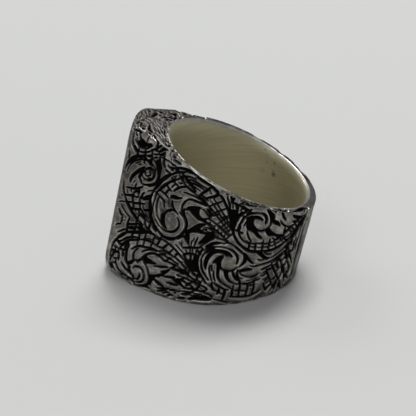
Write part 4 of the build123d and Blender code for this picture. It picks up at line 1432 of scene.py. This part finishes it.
def engraver_tree():
    """Geometry Nodes that press the charted cuts into a smooth skin."""
    tree = bpy.data.node_groups.new("engraver", "GeometryNodeTree")
    tree.interface.new_socket("Geometry", in_out="INPUT", socket_type="NodeSocketGeometry")
    depth = tree.interface.new_socket("Cut depth", in_out="INPUT", socket_type="NodeSocketFloat")
    crown = tree.interface.new_socket("Leaf rounding", in_out="INPUT", socket_type="NodeSocketFloat")
    metal = tree.interface.new_socket("Metal", in_out="INPUT", socket_type="NodeSocketMaterial")
    tree.interface.new_socket("Geometry", in_out="OUTPUT", socket_type="NodeSocketGeometry")
    nodes = tree.nodes
    links = tree.links
    start = nodes.new("NodeGroupInput")
    end = nodes.new("NodeGroupOutput")

    def attribute(name, kind):
        node = nodes.new("GeometryNodeInputNamedAttribute")
        node.data_type = kind
        node.inputs["Name"].default_value = name
        return node.outputs["Attribute"]

    def reckon(operation, a, b):
        node = nodes.new("ShaderNodeMath")
        node.operation = operation
        links.new(a, node.inputs[0])
        links.new(b, node.inputs[1])
        return node.outputs[0]

    cut = reckon("MULTIPLY", attribute("groove", "FLOAT"), start.outputs["Cut depth"])
    rounding = reckon("MULTIPLY", attribute("falling_away", "FLOAT"), start.outputs["Leaf rounding"])
    press = nodes.new("ShaderNodeVectorMath")
    press.operation = "SCALE"
    links.new(attribute("inward", "FLOAT_VECTOR"), press.inputs[0])
    links.new(reckon("ADD", cut, rounding), press.inputs["Scale"])
    move = nodes.new("GeometryNodeSetPosition")
    links.new(start.outputs["Geometry"], move.inputs["Geometry"])
    links.new(press.outputs[0], move.inputs["Offset"])
    realize = nodes.new("GeometryNodeRealizeInstances")
    links.new(move.outputs["Geometry"], realize.inputs["Geometry"])
    finish = nodes.new("GeometryNodeSetMaterial")
    links.new(realize.outputs["Geometry"], finish.inputs["Geometry"])
    links.new(start.outputs["Metal"], finish.inputs["Material"])
    links.new(finish.outputs["Geometry"], end.inputs["Geometry"])
    return tree, depth.identifier, crown.identifier, metal.identifier


# Tarnish spots in the bore: the place in ring coordinates, the radius, and how strong the spot is
BORE_SPOTS = [
    (-4.77, -8.22, 3.70, 0.36, 0.75),
    (-4.60, -8.31, 4.10, 0.20, 0.45),
    (-4.55, -8.34, 5.26, 0.22, 0.50),
    (-3.50, -8.83, 4.99, 0.16, 0.50),
    (-2.84, -9.06, 6.60, 0.16, 0.45),
    (-3.98, -8.63, 7.14, 0.16, 0.40),
    (-3.30, -8.91, 5.80, 0.30, 0.20),
    (-3.11, -8.98, 3.61, 0.50, 0.15),
]

# A spot fades out from the first to the second of these shares of its radius
SPOT_HEART = 0.4
SPOT_EDGE = 1.3

# Colours of the silver, each from the darkest to the brightest of its mottling
ENGRAVED_TONES = ((0.36, (0.12, 0.11, 0.098)), (0.50, (0.185, 0.171, 0.153)), (0.66, (0.34, 0.317, 0.285)))
WORN_TONES = ((0.32, (0.6, 0.6, 0.6)), (0.48, (1.0, 1.0, 1.0)))
PLAIN_TONES = ((0.3, (0.195, 0.192, 0.181)), (0.7, (0.275, 0.273, 0.26)))
# The rubbed tones colour rubbed metal, and also painted highlights and a painted floor reflection
RUBBED_AND_HIGHLIGHT_TONES = ((0.3, (0.55, 0.53, 0.49)), (0.7, (0.75, 0.73, 0.68)))
# The bore's warm cream is partly the silver's own tint and partly a painted warm reflection of the bore in
# itself
BORE_TONES = ((0.3, (0.555, 0.52, 0.372)), (0.7, (0.635, 0.595, 0.432)))
# The black of the oxide, and of the painted shade
OXIDE_AND_SHADE_BLACK = (0.004, 0.004, 0.0045)
TARNISH_COLOUR = (0.16, 0.17, 0.12)

# How rough the silver is where it is bright, black and inside the bore
BRIGHT_ROUGHNESS = 0.34
OXIDE_ROUGHNESS = 0.75
BORE_ROUGHNESS = 0.62

# The faint gloss of the oxide, which is no metal, and the tint at the metal's edges
OXIDE_GLOSS = 0.02
GLOSS_TINT = (0.6, 0.6, 0.6)

# Scales of the mottling, of its specks and the bore's scratches, and of the fine grain, for each metre
CLOUD_SCALE = 900.0
SPECK_SCALE = 3600.0
GRAIN_SCALE = 2600.0
SCRATCH_STRETCH = (0.04, 0.04, 1.0)
GRAIN_STRENGTH = 0.12
GRAIN_DEPTH = 0.04 * MM


def silver_material():
    """Old silver: bright on the high places, black in the cuts, pale and worn inside the opening, with
    painted shade and painted highlights in its colour.
    """
    material = bpy.data.materials.new("blackened_silver")
    material.use_nodes = True
    nodes = material.node_tree.nodes
    links = material.node_tree.links
    shader = nodes["Principled BSDF"]
    where = nodes.new("ShaderNodeTexCoord").outputs["Object"]

    def field(name):
        node = nodes.new("ShaderNodeAttribute")
        node.attribute_name = name
        return node.outputs["Fac"]

    def noise(scale, detail, stretch=None):
        node = nodes.new("ShaderNodeTexNoise")
        node.inputs["Scale"].default_value = scale
        node.inputs["Detail"].default_value = detail
        source = where
        if stretch:
            mapping = nodes.new("ShaderNodeMapping")
            mapping.inputs["Rotation"].default_value = (0, -LEAN, 0)
            mapping.inputs["Scale"].default_value = stretch
            links.new(where, mapping.inputs["Vector"])
            source = mapping.outputs["Vector"]
        links.new(source, node.inputs["Vector"])
        return node.outputs["Fac"]

    def ramp(value, stops):
        node = nodes.new("ShaderNodeValToRGB")
        elements = node.color_ramp.elements
        while len(elements) < len(stops):
            elements.new(0.5)
        for element, (position, colour) in zip(elements, stops):
            element.position = position
            element.color = (*colour, 1)
        links.new(value, node.inputs["Fac"])
        return node.outputs["Color"]

    def mix(factor, a, b, kind="RGBA"):
        node = nodes.new("ShaderNodeMix")
        node.data_type = kind
        sockets = {"RGBA": (6, 7, 2), "FLOAT": (2, 3, 0)}[kind]
        links.new(factor, node.inputs[0])
        for socket, value in zip(sockets[:2], (a, b)):
            if isinstance(value, (tuple, float)):
                node.inputs[socket].default_value = (*value, 1) if isinstance(value, tuple) else value
            else:
                links.new(value, node.inputs[socket])
        return node.outputs[sockets[2]]

    def times_colour(a, b):
        node = nodes.new("ShaderNodeMix")
        node.data_type = "RGBA"
        node.blend_type = "MULTIPLY"
        node.inputs[0].default_value = 1.0
        links.new(a, node.inputs[6])
        links.new(b, node.inputs[7])
        return node.outputs[2]

    def spot(x, y, z, radius, strength):
        apart = nodes.new("ShaderNodeVectorMath")
        apart.operation = "DISTANCE"
        links.new(where, apart.inputs[0])
        apart.inputs[1].default_value = in_cad_frame(x, y, z)
        fade = nodes.new("ShaderNodeMapRange")
        fade.interpolation_type = "SMOOTHSTEP"
        fade.inputs["From Min"].default_value = SPOT_EDGE * radius * MM
        fade.inputs["From Max"].default_value = SPOT_HEART * radius * MM
        fade.inputs["To Max"].default_value = strength
        links.new(apart.outputs["Value"], fade.inputs["Value"])
        return fade.outputs["Result"]

    def higher(a, b):
        node = nodes.new("ShaderNodeMath")
        node.operation = "MAXIMUM"
        links.new(a, node.inputs[0])
        links.new(b, node.inputs[1])
        return node.outputs["Value"]

    clouds = noise(CLOUD_SCALE, detail=5.0)
    specks = noise(SPECK_SCALE, detail=3.0)
    scratches = noise(SPECK_SCALE, detail=3.0, stretch=SCRATCH_STRETCH)
    tarnish = functools.reduce(higher, [spot(*placed) for placed in BORE_SPOTS])
    bore = mix(tarnish, ramp(scratches, BORE_TONES), TARNISH_COLOUR)
    colour = times_colour(ramp(clouds, ENGRAVED_TONES), ramp(specks, WORN_TONES))
    colour = mix(field("plain"), colour, ramp(clouds, PLAIN_TONES))
    # Rubbed metal, painted highlights and a painted floor reflection
    colour = mix(field("rub_and_highlight"), colour, ramp(clouds, RUBBED_AND_HIGHLIGHT_TONES))
    # Black oxide and painted shade
    colour = mix(field("oxide_and_shade"), colour, OXIDE_AND_SHADE_BLACK)
    colour = mix(field("inside"), colour, bore)
    links.new(colour, shader.inputs["Base Color"])
    rough = mix(field("oxide_and_shade"), BRIGHT_ROUGHNESS, OXIDE_ROUGHNESS, "FLOAT")
    rough = mix(field("inside"), rough, BORE_ROUGHNESS, "FLOAT")
    links.new(rough, shader.inputs["Roughness"])
    links.new(mix(field("oxide_and_shade"), 1.0, 0.0, "FLOAT"), shader.inputs["Metallic"])
    shader.inputs["Specular IOR Level"].default_value = OXIDE_GLOSS
    shader.inputs["Specular Tint"].default_value = (*GLOSS_TINT, 1)
    grain = nodes.new("ShaderNodeBump")
    grain.inputs["Strength"].default_value = GRAIN_STRENGTH
    grain.inputs["Distance"].default_value = GRAIN_DEPTH
    links.new(noise(GRAIN_SCALE, detail=5.0), grain.inputs["Height"])
    links.new(grain.outputs["Normal"], shader.inputs["Normal"])
    return material


ENGRAVER, DEPTH_INPUT, CROWN_INPUT, METAL_INPUT = engraver_tree()
SILVER = silver_material()
CUT_DEPTH = 0.28 * MM
LEAF_ROUNDING = 0.16 * MM

# How far from a cut a leaf's edge is still rounded
LEAF_EDGE = 0.18

# Where the plain face ends and the plain band of the back begins, and how far the band takes to turn plain
PLAIN_FACE_END = 3.0
PLAIN_BAND_START = 32.3
PLAIN_BAND_FADE = 0.4

# Oxide and painted shade: how fast oxide fills a cut, what shallow cuts lose of it, the painted shade beside
# a cut and how far that reaches, and how much darker the plain band is made
OXIDE_FILL = 1.4
OXIDE_CLEAN = 0.05
EDGE_SHADE = 0.15
EDGE_SHADE_REACH = 0.04
BAND_DARKENING = 0.22

# The bright line beside each cut, partly a rubbed burr and partly painted highlight: how bright, how far from
# it, how wide, and up to which depth
EDGE_HIGHLIGHT_SHINE = 0.58
EDGE_HIGHLIGHT_PLACE = 0.10
EDGE_HIGHLIGHT_WIDTH = 0.055
EDGE_HIGHLIGHT_GROOVE = 0.4


def finish_of(grid):
    """The values that the engraver and the material read at each point of a grid."""
    groove = grid["groove"]
    near = grid["near"]
    place = grid["place"]
    falling = np.exp(-near / LEAF_EDGE) * (near < Plate.REACH)
    plain_back = np.clip((grid["s"] - PLAIN_BAND_START) / PLAIN_BAND_FADE, 0, 1)
    plain = plain_back + (grid["s"] < PLAIN_FACE_END) * (place == WALL)
    edge_shade = EDGE_SHADE * np.exp(-near / EDGE_SHADE_REACH)
    # The plain band of the back is made darker overall
    band_darkening = BAND_DARKENING * plain_back * (place == WALL)
    # Black for the oxide in the cuts, and for painted shade in the charts' dark places and beside the cuts
    oxide_and_shade = groove * OXIDE_FILL - OXIDE_CLEAN + grid["tone"] + edge_shade + band_darkening
    # Painted highlight beside each cut, partly a rubbed burr
    edge_highlight = EDGE_HIGHLIGHT_SHINE * np.exp(-((near - EDGE_HIGHLIGHT_PLACE) / EDGE_HIGHLIGHT_WIDTH) ** 2) * (groove < EDGE_HIGHLIGHT_GROOVE)
    return {
        "groove": groove,
        "falling_away": falling,
        "oxide_and_shade": np.clip(oxide_and_shade, 0, 1),
        "rub_and_highlight": np.maximum(np.maximum(grid["rub_and_highlight"], edge_highlight), place == BEVEL),
        "inside": (place == BORE) * 1.0,
        "plain": plain * (place < BEVEL),
    }


def skin_mesh(name, grid):
    """A closed length of the ring's smooth skin as one mesh, with sharp edges round its two flat ends."""
    stations, loop = grid["z"].shape
    points = in_cad_frame(grid["x"], grid["y"], grid["z"]).reshape(-1, 3)
    index = np.arange(stations * loop).reshape(stations, loop)
    after = np.roll(index, -1, 1)
    quads = np.stack([index[:-1], index[1:], after[1:], after[:-1]], -1).reshape(-1, 4)
    mesh = bpy.data.meshes.new(name)
    mesh.vertices.add(len(points))
    mesh.vertices.foreach_set("co", points.ravel())
    corners = np.concatenate([quads.ravel(), index[0], index[-1][::-1]])
    starts = np.concatenate([np.arange(len(quads)) * 4, [len(quads) * 4, len(quads) * 4 + loop]])
    mesh.loops.add(len(corners))
    mesh.loops.foreach_set("vertex_index", corners.astype(np.int32))
    mesh.polygons.add(len(starts))
    mesh.polygons.foreach_set("loop_start", starts.astype(np.int32))
    mesh.update(calc_edges=True)
    mesh.polygons.foreach_set("use_smooth", np.ones(len(starts), bool))
    ends = np.zeros(len(points), bool)
    ends[index[0]] = True
    ends[index[-1]] = True
    pairs = np.empty(len(mesh.edges) * 2, np.int32)
    mesh.edges.foreach_get("vertices", pairs)
    sharp = mesh.attributes.new("sharp_edge", "BOOLEAN", "EDGE")
    sharp.data.foreach_set("value", ends[pairs.reshape(-1, 2)].all(1))
    return mesh


def make_piece(name, grid):
    """A closed length of the ring, engraved and finished, as one mesh piece."""
    mesh = skin_mesh(name, grid)
    for key, values in finish_of(grid).items():
        field = mesh.attributes.new(key, "FLOAT", "POINT")
        field.data.foreach_set("value", np.ascontiguousarray(values, np.float32).ravel())
    normal = grid["normal"]
    inward = -way_in_cad_frame(normal[..., 0], normal[..., 1], normal[..., 2])
    field = mesh.attributes.new("inward", "FLOAT_VECTOR", "POINT")
    field.data.foreach_set("vector", inward.astype(np.float32).ravel())
    mesh.materials.append(SILVER)
    draft = bpy.data.objects.new(name + "_draft", mesh)
    bpy.context.scene.collection.objects.link(draft)
    modifier = draft.modifiers.new("engraver", "NODES")
    modifier.node_group = ENGRAVER
    modifier[DEPTH_INPUT] = CUT_DEPTH
    modifier[CROWN_INPUT] = LEAF_ROUNDING
    modifier[METAL_INPUT] = SILVER
    view = bpy.context.evaluated_depsgraph_get()
    finished = bpy.data.meshes.new_from_object(draft.evaluated_get(view))
    finished.name = name
    bpy.data.objects.remove(draft)
    piece = bpy.data.objects.new(name, finished)
    bpy.context.scene.collection.objects.link(piece)
    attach(piece, "root")
    return piece


def spread(start, *legs):
    """Stations along the wall from a start: each leg has the distance that it ends at and its step."""
    row = [start]
    for reach, step in legs:
        count = max(1, int(round((reach - row[-1]) / step)))
        row.extend(np.linspace(row[-1], reach, count + 1)[1:])
    return np.array(row)


# Steps between stations on the near side, the far side and the plain back
FINE = 0.055
COARSE = 0.09
PLAIN = 0.2

# Distances round the wall where the ring's six lengths meet, and where the net of the shank ends
HEAD_END = 9.6
SHOULDER_MEET = 17.4
SHANK_MEET = 25.2
NET_END = 32.8

near_head = spread(0.0, (2.0, PLAIN), (3.0, 0.1), (HEAD_END, FINE))
near_shoulder = spread(HEAD_END, (SHOULDER_MEET, FINE))
near_shank = spread(SHOULDER_MEET, (SHANK_MEET, FINE))
near_back = spread(SHANK_MEET, (NET_END, FINE), (BACK_MIDDLE, PLAIN))
far_head = -spread(0.0, (2.0, PLAIN), (3.0, 0.15), (HEAD_END, COARSE))[::-1]
far_shank = -spread(HEAD_END, (NET_END, COARSE), (BACK_MIDDLE, PLAIN))[::-1]

# Each length with its stations, and how many rows it has up the wall, across the upper side face,
# across the lower one and down the bore
LENGTHS = [
    ("head_near", near_head, (380, 130, 60, 16)),
    ("shoulder_near", near_shoulder, (340, 44, 26, 16)),
    ("shank_near", near_shank, (300, 32, 18, 16)),
    ("back_near", near_back, (250, 30, 18, 16)),
    ("head_far", far_head, (260, 80, 44, 12)),
    ("shank_far", far_shank, (240, 30, 18, 12)),
]
pieces = [make_piece(name, ring_grid(stations, *rows)) for name, stations, rows in LENGTHS]
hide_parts("signet_ring")


# The floor, the light and the camera
FLOOR_HALF_WIDTH = 1.2
FLOOR_COLOUR = (0.60, 0.605, 0.59)
FLOOR_ROUGHNESS = 0.7
ROOM_COLOUR = (0.95, 0.97, 1.0)
ROOM_BRIGHTNESS = 0.22
SENSOR_WIDTH = 36.0


def floor_material():
    """A pale, dull floor."""
    material = bpy.data.materials.new("pale_floor")
    material.use_nodes = True
    shader = material.node_tree.nodes["Principled BSDF"]
    shader.inputs["Base Color"].default_value = (*FLOOR_COLOUR, 1)
    shader.inputs["Roughness"].default_value = FLOOR_ROUGHNESS
    return material


def soft_light(name, place, size, power):
    """A square soft light that shines on the ring."""
    data = bpy.data.lights.new(name, "AREA")
    data.shape = "SQUARE"
    data.size = size
    data.energy = power
    lamp = bpy.data.objects.new(name, data)
    lamp.location = place
    lamp.rotation_euler = (-Vector(place)).to_track_quat("-Z", "Y").to_euler()
    bpy.context.scene.collection.objects.link(lamp)


half = FLOOR_HALF_WIDTH
floor_corners = [(-half, -half, 0), (half, -half, 0), (half, half, 0), (-half, half, 0)]
floor_mesh = bpy.data.meshes.new("floor")
floor_mesh.from_pydata(floor_corners, [], [(0, 1, 2, 3)])
floor_mesh.materials.append(floor_material())
floor = bpy.data.objects.new("floor", floor_mesh)
bpy.context.scene.collection.objects.link(floor)

world = bpy.data.worlds.new("soft_room")
world.use_nodes = True
background = world.node_tree.nodes["Background"]
background.inputs["Color"].default_value = (*ROOM_COLOUR, 1)
background.inputs["Strength"].default_value = ROOM_BRIGHTNESS
bpy.context.scene.world = world

soft_light("ceiling_light", place=(0.14, 0.74, 1.60), size=0.8, power=24.0)
soft_light("window_light", place=(-1.20, 0.80, 1.15), size=0.9, power=5.0)
soft_light("front_light", place=(-0.50, -1.20, 1.20), size=0.8, power=4.5)

camera_data = bpy.data.cameras.new("camera")
camera_data.sensor_width = SENSOR_WIDTH
camera_data.lens = FOCAL / PICTURE * SENSOR_WIDTH
camera_data.clip_start = 0.01
camera = bpy.data.objects.new("camera", camera_data)
camera_right = RIGHT * math.cos(ROLL) - UP * math.sin(ROLL)
camera_up = RIGHT * math.sin(ROLL) + UP * math.cos(ROLL)
turn = Matrix((camera_right, camera_up, BACK)).transposed().to_4x4()
camera.matrix_world = Matrix.Translation(EYE * MM) @ turn
bpy.context.scene.collection.objects.link(camera)
bpy.context.scene.camera = camera
bpy.context.scene.view_settings.view_transform = "Standard"
